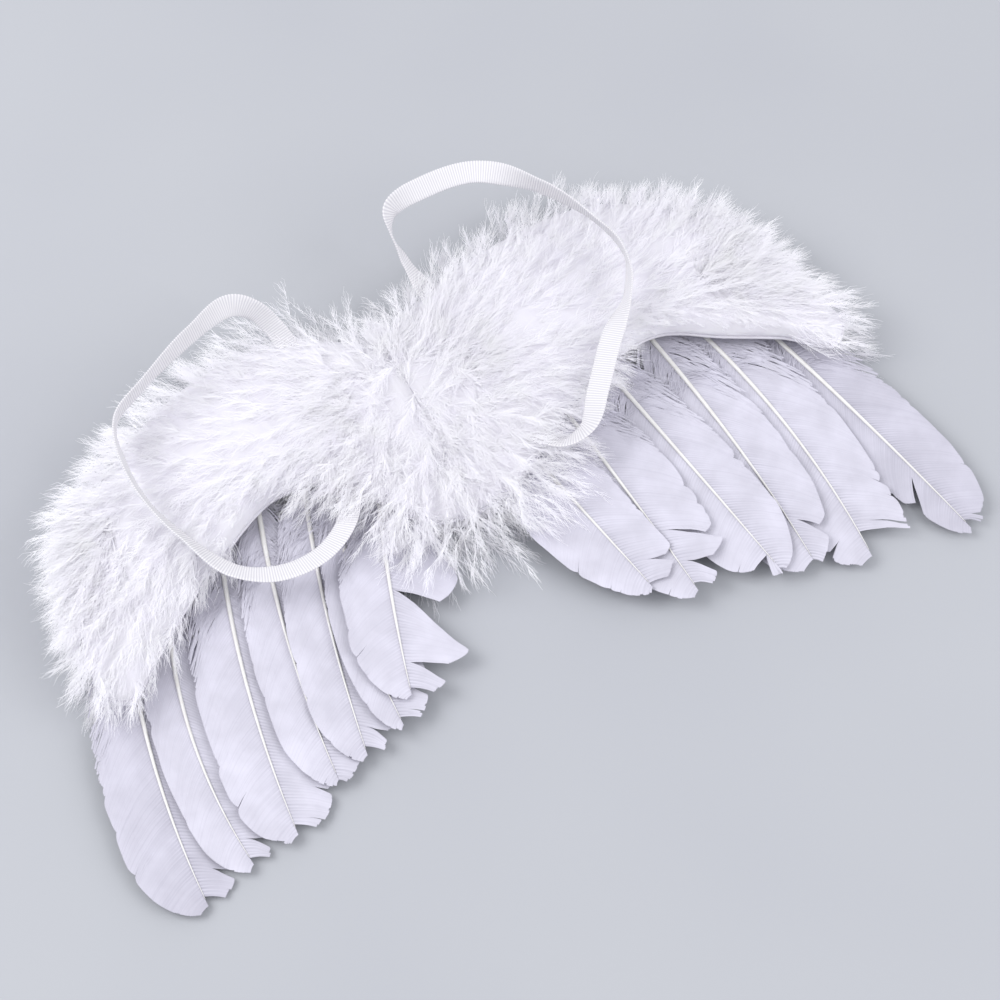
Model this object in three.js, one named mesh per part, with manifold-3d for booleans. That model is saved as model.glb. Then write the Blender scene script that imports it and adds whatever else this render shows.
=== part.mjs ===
// A pair of baby angel wings: goose feathers and down on a felt backing, with two elastic arm loops.
// Lengths are millimetres. x runs across the wings from the midline, y up towards the neck, and z from
// the display side, which the wings lie on, to the side with the arm loops.
import * as THREE from 'three';
import { mergeVertices } from 'three/addons/utils/BufferGeometryUtils.js';
import Module from 'manifold-3d';

const wasm = await Module();
wasm.setup();

// Felt backing
const wingReach = 190;          // midline to the outer end of the felt
const wingRise = 90;            // from the level where the feathers show, y = 0, to the top of the down
const feltThickness = 1.6;

// Feathers
const featherLength = 150;      // longest feather, from quill end to tip
const featherWidth = 44;        // widest vane, both sides together
const vaneThickness = 0.8;
const quillWidth = 2.6;
const quillHeight = 1;          // how far the quill stands out of the vane
const tipDroop = 2.5;             // how far the feathers bend down, one feather's length below the felt

// Down
const backLoft = 14;            // down between the floor and the felt
const frontLoft = 11;           // down padding on the felt, before its tufts
const tuftReach = 30;
const tuftWidth = 22;
const tuftDepth = 10;

// Arm loops
const elasticWidth = 10;
const elasticThickness = 1.1;
const loopHeight = 32;          // how far a loop stands above the felt
const channelClearance = 1.2;   // room round the elastic where it enters the down

const gap = 0.3;                // clearance between neighbouring pieces

const feltBottom = backLoft;
const feltTop = feltBottom + feltThickness;

// Each wing's felt edge from the top of the midline round to its bottom: out is a share of wingReach and
// up a share of wingRise. The left wing hangs a little lower than the right one.
const rightEdge = [
  { out: 0, up: 0.6 },
  { out: 0.13, up: 0.79 },
  { out: 0.36, up: 0.92 },
  { out: 0.62, up: 0.92 },
  { out: 0.79, up: 0.7 },
  { out: 0.9, up: 0.38 },
  { out: 0.96, up: 0.02 },
  { out: 1, up: -0.26 },
  { out: 0.95, up: -0.35 },
  { out: 0.85, up: -0.2 },
  { out: 0.73, up: -0.07 },
  { out: 0.59, up: 0.08 },
  { out: 0.4, up: 0.01 },
  { out: 0.24, up: -0.2 },
  { out: 0.11, up: -0.37 },
  { out: 0, up: -0.42 },
];
const leftEdge = [
  { out: 0, up: 0.6 },
  { out: 0.15, up: 0.8 },
  { out: 0.35, up: 0.87 },
  { out: 0.55, up: 0.75 },
  { out: 0.72, up: 0.51 },
  { out: 0.84, up: 0.2 },
  { out: 0.89, up: -0.15 },
  { out: 0.9, up: -0.5 },
  { out: 0.85, up: -0.59 },
  { out: 0.76, up: -0.44 },
  { out: 0.65, up: -0.25 },
  { out: 0.53, up: -0.08 },
  { out: 0.39, up: 0.07 },
  { out: 0.27, up: 0.05 },
  { out: 0.18, up: -0.15 },
  { out: 0.1, up: -0.36 },
  { out: 0, up: -0.42 },
];

// Big feathers from the middle outwards: out and up place the quill's end on the felt, splay is the
// outward angle there in degrees, bend is how far the quill turns back inwards on its way to the tip,
// long is a share of featherLength, inner and outer are shares of half featherWidth, and under is how
// much deeper the feather lies than the one before, in layers of one vane, one quill and one gap.
const rightFeathers = [
  { out: 0.15, up: 0.14, splay: 13, bend: 0, long: 0.77, inner: 1.1, outer: 0.85, under: 0 },
  { out: 0.29, up: 0.22, splay: 9, bend: 4, long: 0.87, inner: 1, outer: 0.95, under: 0.3 },
  { out: 0.43, up: 0.24, splay: 11, bend: 1, long: 0.93, inner: 1.05, outer: 0.85, under: 0.3 },
  { out: 0.57, up: 0.28, splay: 11, bend: 11, long: 0.97, inner: 1, outer: 0.9, under: 0.7 },
  { out: 0.67, up: 0.28, splay: 18, bend: 22, long: 1.03, inner: 0.9, outer: 0.9, under: 0.7 },
  { out: 0.82, up: 0.13, splay: 16, bend: 4, long: 1, inner: 0.95, outer: 1, under: 0.2 },
];
const leftFeathers = [
  { out: 0.14, up: 0.06, splay: 21, bend: 9, long: 0.73, inner: 1.05, outer: 0.9, under: 0 },
  { out: 0.22, up: 0.13, splay: 24, bend: 26, long: 0.83, inner: 0.8, outer: 0.55, under: 0.8 },
  { out: 0.29, up: 0.24, splay: 18, bend: 12, long: 0.93, inner: 0.8, outer: 0.8, under: 0.8 },
  { out: 0.41, up: 0.21, splay: 16, bend: 15, long: 0.93, inner: 0.95, outer: 0.75, under: 0.3 },
  { out: 0.51, up: 0.2, splay: 18, bend: 17, long: 1.02, inner: 0.95, outer: 0.95, under: 0.5 },
  { out: 0.64, up: 0.12, splay: 26, bend: 36, long: 1, inner: 0.95, outer: 0.85, under: 0.4 },
  { out: 0.78, up: -0.07, splay: 17, bend: 20, long: 0.92, inner: 1, outer: 1, under: 0.2 },
];

// Outline of one vane from quill end to tip: along is a share of the feather's length, wide a share of
// the vane's width.
const vaneOutline = [
  { along: 0, wide: 0.06 },
  { along: 0.13, wide: 0.08 },
  { along: 0.2, wide: 0.5 },
  { along: 0.3, wide: 0.86 },
  { along: 0.45, wide: 1 },
  { along: 0.62, wide: 1 },
  { along: 0.8, wide: 0.97 },
  { along: 0.91, wide: 0.82 },
  { along: 0.965, wide: 0.58 },
  { along: 1, wide: 0.15 },
];

// Open splits between the barbs: along is a share of the length where the split opens at the vane's
// edge, deep a share of the vane's width and open a share of its length. Barbs point to the tip.
const splits = {
  right_2: [
    { side: 1, along: 0.8, deep: 0.7, open: 0.05 },
    { side: 1, along: 0.91, deep: 0.6, open: 0.04 },
  ],
  right_3: [{ side: -1, along: 0.86, deep: 0.6, open: 0.06 }],
  right_5: [{ side: 1, along: 0.92, deep: 0.7, open: 0.05 }],
  right_6: [{ side: -1, along: 0.93, deep: 0.6, open: 0.04 }],
  left_1: [
    { side: -1, along: 0.62, deep: 0.75, open: 0.2 },
    { side: -1, along: 0.94, deep: 0.7, open: 0.1 },
  ],
  left_3: [{ side: -1, along: 0.9, deep: 0.6, open: 0.05 }],
  left_5: [{ side: -1, along: 0.93, deep: 0.6, open: 0.05 }],
};

// Arm loops from the sewn end at the neck to the one below: out and up as for the felt, high is a share
// of loopHeight, and lean is the angle in degrees between the elastic's width and the level.
const rightLoop = [
  { out: 0.17, up: 0.62, high: 0, lean: 0 },
  { out: 0.15, up: 0.78, high: 0.12, lean: 15 },
  { out: 0.13, up: 0.94, high: 0.38, lean: 50 },
  { out: 0.12, up: 1.05, high: 0.7, lean: 80 },
  { out: 0.14, up: 1.13, high: 0.93, lean: 60 },
  { out: 0.23, up: 1.16, high: 1, lean: 35 },
  { out: 0.36, up: 1.13, high: 1, lean: 25 },
  { out: 0.48, up: 0.92, high: 0.95, lean: 35 },
  { out: 0.56, up: 0.66, high: 0.8, lean: 55 },
  { out: 0.585, up: 0.46, high: 0.72, lean: 60 },
  { out: 0.55, up: 0.26, high: 0.67, lean: 25 },
  { out: 0.45, up: 0.04, high: 0.62, lean: 12 },
  { out: 0.37, up: -0.16, high: 0.55, lean: 15 },
  { out: 0.31, up: -0.3, high: 0.43, lean: 35 },
  { out: 0.25, up: -0.29, high: 0.25, lean: 35 },
  { out: 0.19, up: -0.11, high: 0.1, lean: 10 },
  { out: 0.14, up: 0.08, high: 0, lean: 0 },
];
const leftLoop = [
  { out: 0.18, up: 0.6, high: 0, lean: 0 },
  { out: 0.2, up: 0.76, high: 0.1, lean: 10 },
  { out: 0.22, up: 0.89, high: 0.34, lean: 45 },
  { out: 0.25, up: 0.96, high: 0.6, lean: 60 },
  { out: 0.3, up: 0.99, high: 0.78, lean: 45 },
  { out: 0.41, up: 0.9, high: 0.86, lean: 55 },
  { out: 0.55, up: 0.76, high: 0.8, lean: 75 },
  { out: 0.64, up: 0.64, high: 0.75, lean: 78 },
  { out: 0.66, up: 0.45, high: 0.68, lean: 78 },
  { out: 0.65, up: 0.22, high: 0.58, lean: 72 },
  { out: 0.61, up: 0, high: 0.48, lean: 60 },
  { out: 0.54, up: -0.24, high: 0.32, lean: 35 },
  { out: 0.45, up: -0.33, high: 0.22, lean: 22 },
  { out: 0.35, up: -0.32, high: 0.17, lean: 20 },
  { out: 0.27, up: -0.22, high: 0.15, lean: 20 },
  { out: 0.22, up: -0.03, high: 0.06, lean: 0 },
  { out: 0.19, up: 0.1, high: 0, lean: 0 },
];

// Rows of tufts on the down: at is how far out a tuft is rooted, as a share of the way from the wing's
// arm to the felt's edge, count is for one wing, rise is how high it arches as a share of its reach,
// reach is a share of tuftReach, and tail is how much longer the tufts at the foot of the midline are.
const frontTufts = [
  { at: 0.86, count: 19, rise: 0.2, reach: 1, tail: 0.7 },
  { at: 0.52, count: 9, rise: 0.26, reach: 1.2, tail: 0 },
  { at: 0.12, count: 3, rise: 0.32, reach: 1.1, tail: 0 },
];
const backTufts = [
  { at: 0.84, count: 14, rise: -0.13, reach: 1.05, tail: 0.5 },
  { at: 0.5, count: 4, rise: -0.16, reach: 1.2, tail: 0 },
];
const tailStart = 0.8;          // share of the edge, from the neck round, where the tufts grow longer
const tuftTaper = [
  { along: 0, swell: 0.75 },
  { along: 0.35, swell: 1 },
  { along: 0.75, swell: 0.75 },
  { along: 1, swell: 0.15 },
];

// The down padding rises from the felt's edge to its crown: share is how far out a ring lies, high how
// far it has risen.
const padDome = [
  { share: 1, high: 0 },
  { share: 0.97, high: 0.45 },
  { share: 0.8, high: 0.85 },
  { share: 0.5, high: 1 },
];

const materials = {
  felt: new THREE.MeshStandardMaterial({ color: '#f1f0f2', roughness: 0.95, metalness: 0 }),
  feather: new THREE.MeshStandardMaterial({ color: '#eeecf4', roughness: 0.6, metalness: 0 }),
  down: new THREE.MeshStandardMaterial({ color: '#f8f6f8', roughness: 1, metalness: 0 }),
  elastic: new THREE.MeshStandardMaterial({ color: '#f5f1ee', roughness: 0.85, metalness: 0 }),
};

const up = new THREE.Vector3(0, 0, 1);
const degrees = Math.PI / 180;

function piece(name, geometry, material) {
  const mesh = new THREE.Mesh(geometry, materials[material].clone());
  mesh.name = name;
  return mesh;
}

function solidOf(geometry) {
  const bare = geometry.clone();
  bare.deleteAttribute('normal');
  bare.deleteAttribute('uv');
  const merged = mergeVertices(bare, 1e-4);
  return new wasm.Manifold(new wasm.Mesh({
    numProp: 3,
    vertProperties: Float32Array.from(merged.attributes.position.array),
    triVerts: Uint32Array.from(merged.index.array),
  }));
}

function geometryOf(solid) {
  const mesh = solid.getMesh();
  const geometry = new THREE.BufferGeometry();
  geometry.setAttribute('position', new THREE.BufferAttribute(mesh.vertProperties, 3));
  geometry.setIndex(new THREE.BufferAttribute(mesh.triVerts, 1));
  geometry.computeVertexNormals();
  return geometry;
}

function largest(solid) {
  return solid.decompose().sort((a, b) => b.volume() - a.volume())[0];
}

function box(low, high) {
  const size = new THREE.Vector3().subVectors(high, low);
  const centre = new THREE.Vector3().addVectors(low, high).multiplyScalar(0.5);
  return solidOf(new THREE.BoxGeometry(size.x, size.y, size.z).translate(centre.x, centre.y, centre.z));
}

// The faces that close an end ring: a fan from its first point, or the triangles of a flat outline
function fan(ring) {
  return ring.slice(2).map((point, i) => [0, i + 1, i + 2]);
}

function flatEnd(ring) {
  return THREE.ShapeUtils.triangulateShape(ring.map((p) => new THREE.Vector2(p.x, p.y)), []);
}

// Joins rings of points into a closed skin. Each ring runs anticlockwise as seen from the loft's end.
function loft(rings, close = fan) {
  const sides = rings[0].length;
  const last = (rings.length - 1) * sides;
  const faces = [];
  for (let r = 0; r < rings.length - 1; r += 1) {
    for (let i = 0; i < sides; i += 1) {
      const a = r * sides + i;
      const b = r * sides + (i + 1) % sides;
      faces.push(a, b, b + sides, a, b + sides, a + sides);
    }
  }
  for (const [a, b, c] of close(rings[0])) {
    faces.push(a, c, b);
  }
  for (const [a, b, c] of close(rings.at(-1))) {
    faces.push(last + a, last + b, last + c);
  }
  const geometry = new THREE.BufferGeometry().setFromPoints(rings.flat());
  geometry.setIndex(faces);
  geometry.computeVertexNormals();
  return geometry;
}

// Felt
function edgeCurve(table, side) {
  const points = table.map((p) => new THREE.Vector3(side * p.out * wingReach, p.up * wingRise, 0));
  return new THREE.CatmullRomCurve3(points, false, 'centripetal');
}

const edgeSteps = 36;
const edges = {
  right: edgeCurve(rightEdge, 1),
  left: edgeCurve(leftEdge, -1),
};

function makeBacking() {
  const right = edges.right.getPoints(edgeSteps);
  const left = edges.left.getPoints(edgeSteps).reverse().slice(1, -1);
  const outline = [...right, ...left].map((p) => new THREE.Vector2(p.x, p.y));
  const sheet = new THREE.ExtrudeGeometry(new THREE.Shape(outline), {
    depth: feltThickness,
    bevelEnabled: false,
  });
  return piece('backing', sheet.translate(0, 0, feltBottom), 'felt');
}

// Feathers
const layer = vaneThickness + quillHeight + gap;
const quillPitch = 0.137 * wingReach;     // usual distance between two neighbouring quills
const vaneSlope = layer / quillPitch;     // each vane tilts, so that the next one slips under it
const widestVane = 1.1 * featherWidth / 2;
const vaneDrop = gap + vaneSlope * widestVane + vaneThickness / 2;
const rootRise = 0.13;                    // share of the length in which the bare quill climbs to the felt
const barbRake = 0.12;                    // how far barbs run towards the tip, as a share of the length
const quillTaper = 0.85;                  // how much of its thickness a quill loses by its tip

// The quill's line in plan, bending steadily inwards
function quillPoint(row, side, along) {
  const length = row.long * featherLength;
  const steps = 24;
  const point = new THREE.Vector2(side * row.out * wingReach, row.up * wingRise);
  for (let i = 0; i < steps; i += 1) {
    const angle = quillAngle(row, along * (i + 0.5) / steps);
    point.x += side * Math.sin(angle) * along * length / steps;
    point.y -= Math.cos(angle) * along * length / steps;
  }
  return point;
}

function quillAngle(row, along) {
  return (row.splay - row.bend * along) * degrees;
}

function featherLevel(depth, along) {
  const level = feltBottom - vaneDrop - depth * layer;
  const seat = feltBottom - gap - quillHeight - vaneThickness / 2;
  return THREE.MathUtils.lerp(level, seat, Math.max(0, 1 - along / rootRise));
}

// All the feathers bend down together, so how far depends on the height on the wing alone
function droopAt(y) {
  return tipDroop * (Math.max(0, -y) / featherLength) ** 2;
}

function makeFeather(name, row, side, depth) {
  const rings = vaneOutline.map(({ along, wide }) => {
    const root = quillPoint(row, side, along);
    const angle = quillAngle(row, along);
    const outwards = new THREE.Vector3(side * Math.cos(angle), Math.sin(angle), 0);
    const level = featherLevel(depth, along);
    const slope = vaneSlope * Math.min(1, along / rootRise);
    const taper = 1 - quillTaper * along;
    const half = quillWidth / 2 * taper;
    const inner = Math.max(half, row.inner * wide * featherWidth / 2);
    const outer = Math.max(half, row.outer * wide * featherWidth / 2);
    const under = -vaneThickness / 2;
    const over = vaneThickness / 2;
    const crown = over + quillHeight * taper;
    const section = [
      [0, under],
      [outer, under],
      [outer, over],
      [half, over],
      [half / 2, crown],
      [-half / 2, crown],
      [-half, over],
      [-inner, over],
      [-inner, under],
    ];
    const ring = section.map(([across, high]) => {
      const point = new THREE.Vector3(root.x, root.y, level).addScaledVector(outwards, across);
      return point.setZ(level + high + across * slope - droopAt(point.y));
    });
    return side > 0 ? ring : ring.reverse();
  });
  const whole = solidOf(loft(rings));
  const cut = (splits[name] || []).reduce(
    (solid, split) => solid.subtract(makeSplit(row, side, split)),
    whole,
  );
  return piece(`feather_${name}`, geometryOf(largest(cut)), 'feather');
}

// A wedge of air between two bundles of barbs, from beside the quill out past the vane's edge
function makeSplit(row, side, { side: flank, along, deep, open }) {
  const width = (flank > 0 ? row.outer : row.inner) * featherWidth / 2;
  const corners = [
    [along - barbRake * deep, (1 - deep) * width],
    [along - open / 2, 1.2 * width],
    [along + open / 2, 1.2 * width],
  ].map(([at, across]) => {
    const angle = quillAngle(row, at);
    const outwards = new THREE.Vector2(side * Math.cos(angle), Math.sin(angle));
    return quillPoint(row, side, at).addScaledVector(outwards, flank * across);
  });
  const wedge = new THREE.ExtrudeGeometry(new THREE.Shape(corners), {
    depth: 2 * feltBottom,
    bevelEnabled: false,
  });
  return solidOf(wedge.translate(0, 0, -feltBottom / 2));
}

function makeFeathers(wing, table, side) {
  let depth = 0;
  return table.map((row, i) => {
    depth += row.under;
    return makeFeather(`${wing}_${i + 1}`, row, side, depth);
  });
}

// Arm loops
const elasticSeat = feltTop + gap + elasticThickness / 2;
const loopSteps = 40;

// A flat band along a loop's route, made larger all round by the clearance where one is given
function makeBand(table, side, clearance = 0) {
  const halfWidth = elasticWidth / 2 + clearance;
  const halfThickness = elasticThickness / 2 + clearance;
  const route = new THREE.CatmullRomCurve3(table.map((p) => new THREE.Vector3(
    side * p.out * wingReach,
    p.up * wingRise,
    elasticSeat + p.high * loopHeight,
  )), false, 'centripetal');
  const last = table.length - 1;
  const rings = [];
  for (let i = 0; i <= loopSteps; i += 1) {
    const t = i / loopSteps;
    const row = Math.min(last - 1, Math.floor(t * last));
    const part = THREE.MathUtils.smoothstep(t * last - row, 0, 1);
    const lean = THREE.MathUtils.lerp(table[row].lean, table[row + 1].lean, part) * degrees;
    const along = route.getTangent(t);
    const overrun = (i === loopSteps) - (i === 0);
    const centre = route.getPoint(t).addScaledVector(along, overrun * clearance);
    const level = new THREE.Vector3().crossVectors(along, up).normalize();
    const rising = new THREE.Vector3().crossVectors(level, along).normalize();
    const across = level.multiplyScalar(-side * Math.cos(lean)).addScaledVector(rising, Math.sin(lean));
    const face = new THREE.Vector3().crossVectors(along, across).normalize();
    rings.push([[-1, -1], [1, -1], [1, 1], [-1, 1]].map(([w, h]) => centre.clone()
      .addScaledVector(across, w * halfWidth)
      .addScaledVector(face, h * halfThickness)));
  }
  return loft(rings);
}

// Down
const padSteps = 20;
const padOverlap = 0.15 * wingReach;      // how far the padding is made past the midline before it is cut
const tuftSeat = 0.5;                     // share of the padding's height at which tufts are rooted

// The point nearest to the felt's edge on the line along the middle of a wing's arm
function armPoint(side, edgePoint) {
  const shoulder = new THREE.Vector3(side * 0.16 * wingReach, 0.3 * wingRise, 0);
  const wrist = new THREE.Vector3(side * 0.74 * wingReach, 0.26 * wingRise, 0);
  return new THREE.Line3(shoulder, wrist).closestPointToPoint(edgePoint, true, new THREE.Vector3());
}

function makePad(edge, side, base, loftHeight) {
  const rim = edge.getPoints(padSteps);
  rim.unshift(rim[0].clone().setX(-side * padOverlap));
  rim.push(rim.at(-1).clone().setX(-side * padOverlap));
  if (side > 0) {
    rim.reverse();
  }
  const rings = padDome.map(({ share, high }) => rim.map((p) => {
    const ring = armPoint(side, p).lerp(p, share);
    return ring.setZ(base + high * loftHeight);
  }));
  if (loftHeight < 0) {
    rings.reverse();
  }
  return solidOf(loft(rings, flatEnd));
}

// A tuft arches to its full rise and comes back down a little at its tip
function makeTuft(root, heading, reach, rise) {
  const sides = 5;
  const across = new THREE.Vector3().crossVectors(up, heading).normalize();
  const rings = tuftTaper.map(({ along, swell }) => {
    const centre = root.clone()
      .addScaledVector(heading, along * reach)
      .addScaledVector(up, rise * reach * Math.sin(0.8 * Math.PI * along));
    const ring = [];
    for (let i = 0; i < sides; i += 1) {
      const angle = i / sides * 2 * Math.PI;
      ring.push(centre.clone()
        .addScaledVector(across, Math.cos(angle) * swell * tuftWidth / 2)
        .addScaledVector(up, Math.sin(angle) * swell * tuftDepth / 2));
    }
    return ring;
  });
  return solidOf(loft(rings));
}

function makeDown(edge, side, base, loftHeight, rows) {
  let down = makePad(edge, side, base, loftHeight);
  for (const [r, row] of rows.entries()) {
    for (let i = 0; i < row.count; i += 1) {
      const t = (i + 0.5 + 0.25 * (r % 2)) / row.count;
      const p = edge.getPointAt(Math.min(t, 1));
      const arm = armPoint(side, p);
      const root = arm.clone().lerp(p, row.at);
      const heading = new THREE.Vector3().subVectors(p, arm).normalize();
      const uneven = 1 + 0.12 * Math.sin(i * 2.4 + r);
      const tail = 1 + row.tail * THREE.MathUtils.smoothstep(t, tailStart, 1);
      root.z = base + loftHeight * tuftSeat;
      down = down.add(makeTuft(root, heading, row.reach * tail * uneven * tuftReach, row.rise));
    }
  }
  return down;
}

// Everything on one side of the midline, between two heights
function halfSpace(side, low, high) {
  const far = 3 * wingReach;
  return side > 0
    ? box(new THREE.Vector3(gap / 2, -far, low), new THREE.Vector3(far, far, high))
    : box(new THREE.Vector3(-far, -far, low), new THREE.Vector3(-gap / 2, far, high));
}

function makeFrontDown(wing, edge, side, loop) {
  const above = halfSpace(side, feltTop + gap, feltTop + 6 * frontLoft);
  const channel = solidOf(makeBand(loop, side, channelClearance));
  const down = makeDown(edge, side, feltTop + gap, frontLoft, frontTufts);
  return piece(`down_front_${wing}`, geometryOf(largest(down.intersect(above).subtract(channel))), 'down');
}

// Room for the feathers: everything below a line just above the quill ends, from the lowest vane up
function featherRoom() {
  const deepest = Math.max(
    rightFeathers.reduce((sum, row) => sum + row.under, 0),
    leftFeathers.reduce((sum, row) => sum + row.under, 0),
  );
  const floor = feltBottom - vaneDrop - deepest * layer - vaneSlope * widestVane - vaneThickness / 2 - gap;
  const margin = 2 * quillWidth;
  const ends = [
    ...leftFeathers.map((row) => [-row.out * wingReach, row.up * wingRise]).reverse(),
    ...rightFeathers.map((row) => [row.out * wingReach, row.up * wingRise]),
  ];
  const far = 3 * wingReach;
  const line = ends.map(([x, y]) => new THREE.Vector2(x, y + margin));
  const outline = [
    new THREE.Vector2(-far, -far),
    new THREE.Vector2(far, -far),
    new THREE.Vector2(far, line.at(-1).y),
    ...[...line].reverse(),
    new THREE.Vector2(-far, line[0].y),
  ];
  const room = new THREE.ExtrudeGeometry(new THREE.Shape(outline), {
    depth: feltTop - floor,
    bevelEnabled: false,
  });
  return solidOf(room.translate(0, 0, floor));
}

function makeBackDown(wing, edge, side) {
  const below = halfSpace(side, 0, feltBottom - gap);
  const down = makeDown(edge, side, feltBottom - gap, gap - feltBottom, backTufts)
    .intersect(below)
    .subtract(featherRoom());
  return piece(`down_back_${wing}`, geometryOf(largest(down)), 'down');
}

const wings = new THREE.Group();
wings.add(makeBacking());
wings.add(...makeFeathers('right', rightFeathers, 1));
wings.add(...makeFeathers('left', leftFeathers, -1));
wings.add(makeFrontDown('right', edges.right, 1, rightLoop));
wings.add(makeFrontDown('left', edges.left, -1, leftLoop));
wings.add(makeBackDown('right', edges.right, 1));
wings.add(makeBackDown('left', edges.left, -1));
wings.add(piece('strap_right', makeBand(rightLoop, 1), 'elastic'));
wings.add(piece('strap_left', makeBand(leftLoop, -1), 'elastic'));

// The origin is on the surface that the wings lie on, under the middle of their outline
const bounds = new THREE.Box3().setFromObject(wings);
const middle = bounds.getCenter(new THREE.Vector3());
wings.position.set(-middle.x, -middle.y, -bounds.min.z);

export default wings;
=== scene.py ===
from collections import namedtuple
from math import cos, pi, radians, sin

import bmesh
import bpy
import numpy as np
from bpy.props import FloatProperty, FloatVectorProperty, IntProperty, PointerProperty
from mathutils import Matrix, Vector
from mathutils.geometry import tessellate_polygon


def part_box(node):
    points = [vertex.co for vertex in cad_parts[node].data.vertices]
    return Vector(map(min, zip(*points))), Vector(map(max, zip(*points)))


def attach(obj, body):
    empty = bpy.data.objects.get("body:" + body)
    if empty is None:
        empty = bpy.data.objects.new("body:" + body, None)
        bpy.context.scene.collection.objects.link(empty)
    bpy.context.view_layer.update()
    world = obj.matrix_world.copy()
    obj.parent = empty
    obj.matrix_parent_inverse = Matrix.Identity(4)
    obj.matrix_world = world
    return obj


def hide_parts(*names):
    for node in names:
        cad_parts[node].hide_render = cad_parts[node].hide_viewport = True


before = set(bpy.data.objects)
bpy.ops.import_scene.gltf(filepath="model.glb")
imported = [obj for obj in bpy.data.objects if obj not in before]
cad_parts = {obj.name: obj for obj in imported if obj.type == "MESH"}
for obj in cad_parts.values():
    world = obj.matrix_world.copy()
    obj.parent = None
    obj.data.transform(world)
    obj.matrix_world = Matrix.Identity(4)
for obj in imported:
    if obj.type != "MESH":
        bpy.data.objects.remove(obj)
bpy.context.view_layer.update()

# A pair of baby angel wings that lie on the down of their display side, with the two arm loops up:
# bleached goose feathers and marabou down on a felt backing. Lengths are metres. The wings are drawn
# with x across from their midline and y up towards the neck, and are then shifted to the frame's place.

bl_info = {
    "name": "Baby Angel Wings",
    "version": (1, 0, 0),
    "blender": (4, 5, 0),
    "location": "View3D > Sidebar > Wings",
    "description": "Feathers, down, felt backing and elastic arm loops of a pair of angel wings",
    "category": "Object",
}

MM = 0.001

# Felt edge from the top of the midline round to its bottom: out is a share of the wing's reach, up a
# share of its rise
Spot = namedtuple("Spot", "out up")
EDGES = {
    "right": [Spot(*row) for row in (
        (0, 0.6), (0.13, 0.79), (0.36, 0.92), (0.62, 0.92), (0.79, 0.7), (0.9, 0.38), (0.96, 0.02),
        (1, -0.26), (0.95, -0.35), (0.85, -0.2), (0.73, -0.07), (0.59, 0.08), (0.4, 0.01),
        (0.24, -0.2), (0.11, -0.37), (0, -0.42),
    )],
    "left": [Spot(*row) for row in (
        (0, 0.6), (0.15, 0.8), (0.35, 0.87), (0.55, 0.75), (0.72, 0.51), (0.84, 0.2), (0.89, -0.15),
        (0.9, -0.5), (0.85, -0.59), (0.76, -0.44), (0.65, -0.25), (0.53, -0.08), (0.39, 0.07),
        (0.27, 0.05), (0.18, -0.15), (0.1, -0.36), (0, -0.42),
    )],
}
EDGE_STEPS = 400      # straight pieces in which the felt's edge of one wing is drawn
SIDES = {"right": 1, "left": -1}

# Ends of the line along the middle of each wing's arm, from which the down lies outwards
SHOULDER = Spot(0.16, 0.3)
WRIST = Spot(0.74, 0.26)

# Feathers from the middle outwards: out and up place the quill's end, splay is its outward angle there
# in degrees, bend how far it turns back inwards, long a share of the longest feather, and under how many
# layers deeper it lies than the one before. Each vane is wide as a share of half the widest feather, its
# tip begins to narrow at tip and is square where blunt is high, and its last barb leaves the quill at stop
Feather = namedtuple("Feather", "out up splay bend long under inner outer")
Vane = namedtuple("Vane", "wide tip blunt stop")
FEATHERS = {
    "right": [
        Feather(0.15, 0.14, 13, 0, 0.77, 0, Vane(1.1, 0.5, 2, 0.98), Vane(0.85, 0.86, 3, 0.96)),
        Feather(0.29, 0.22, 9, 4, 0.87, 0.3, Vane(1, 0.7, 2, 0.98), Vane(1.05, 0.84, 1.8, 0.95)),
        Feather(0.43, 0.24, 11, 1, 0.93, 0.3, Vane(1.05, 0.72, 2, 0.98), Vane(0.85, 0.78, 1.7, 0.98)),
        Feather(0.57, 0.28, 11, 11, 0.97, 0.7, Vane(1, 0.82, 2.4, 0.97), Vane(0.85, 0.75, 1.4, 0.97)),
        Feather(0.67, 0.28, 18, 22, 1.03, 0.7, Vane(0.9, 0.86, 3, 0.98), Vane(1, 0.95, 4, 0.9)),
        Feather(0.82, 0.13, 16, 4, 1, 0.2, Vane(0.8, 0.6, 1.6, 0.98), Vane(0.95, 0.7, 2.8, 0.95)),
    ],
    "left": [
        Feather(0.14, 0.06, 21, 9, 0.73, 0, Vane(1.3, 0.82, 2, 0.95), Vane(0.95, 0.72, 1.8, 0.98)),
        Feather(0.22, 0.13, 24, 26, 0.83, 0.8, Vane(0.85, 0.8, 2.2, 0.95), Vane(0.55, 0.75, 2, 0.98)),
        Feather(0.29, 0.24, 18, 12, 0.93, 0.8, Vane(0.85, 0.8, 2.2, 0.95), Vane(0.8, 0.76, 1.8, 0.98)),
        Feather(0.41, 0.21, 16, 15, 0.93, 0.3, Vane(0.8, 0.8, 2, 0.98), Vane(0.75, 0.78, 1.8, 0.98)),
        Feather(0.51, 0.2, 18, 17, 1.02, 0.5, Vane(1, 0.82, 2.4, 0.95), Vane(0.95, 0.8, 2.2, 0.98)),
        Feather(0.64, 0.12, 26, 36, 1, 0.4, Vane(0.9, 0.8, 2.2, 0.96), Vane(0.68, 0.8, 2.4, 0.98)),
        Feather(0.78, -0.07, 17, 20, 0.92, 0.2, Vane(0.95, 0.8, 2.2, 0.95), Vane(1.04, 0.76, 2.2, 0.98)),
    ],
}

# Vane outline from the quill's end to where the tip begins to round off
Outline = namedtuple("Outline", "along wide")
VANE = [Outline(*row) for row in (
    (0, 0.06), (0.07, 0.1), (0.12, 0.45), (0.18, 0.75), (0.32, 0.92), (0.45, 1), (0.62, 1),
    (0.8, 0.98), (1, 0.96),
)]

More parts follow.
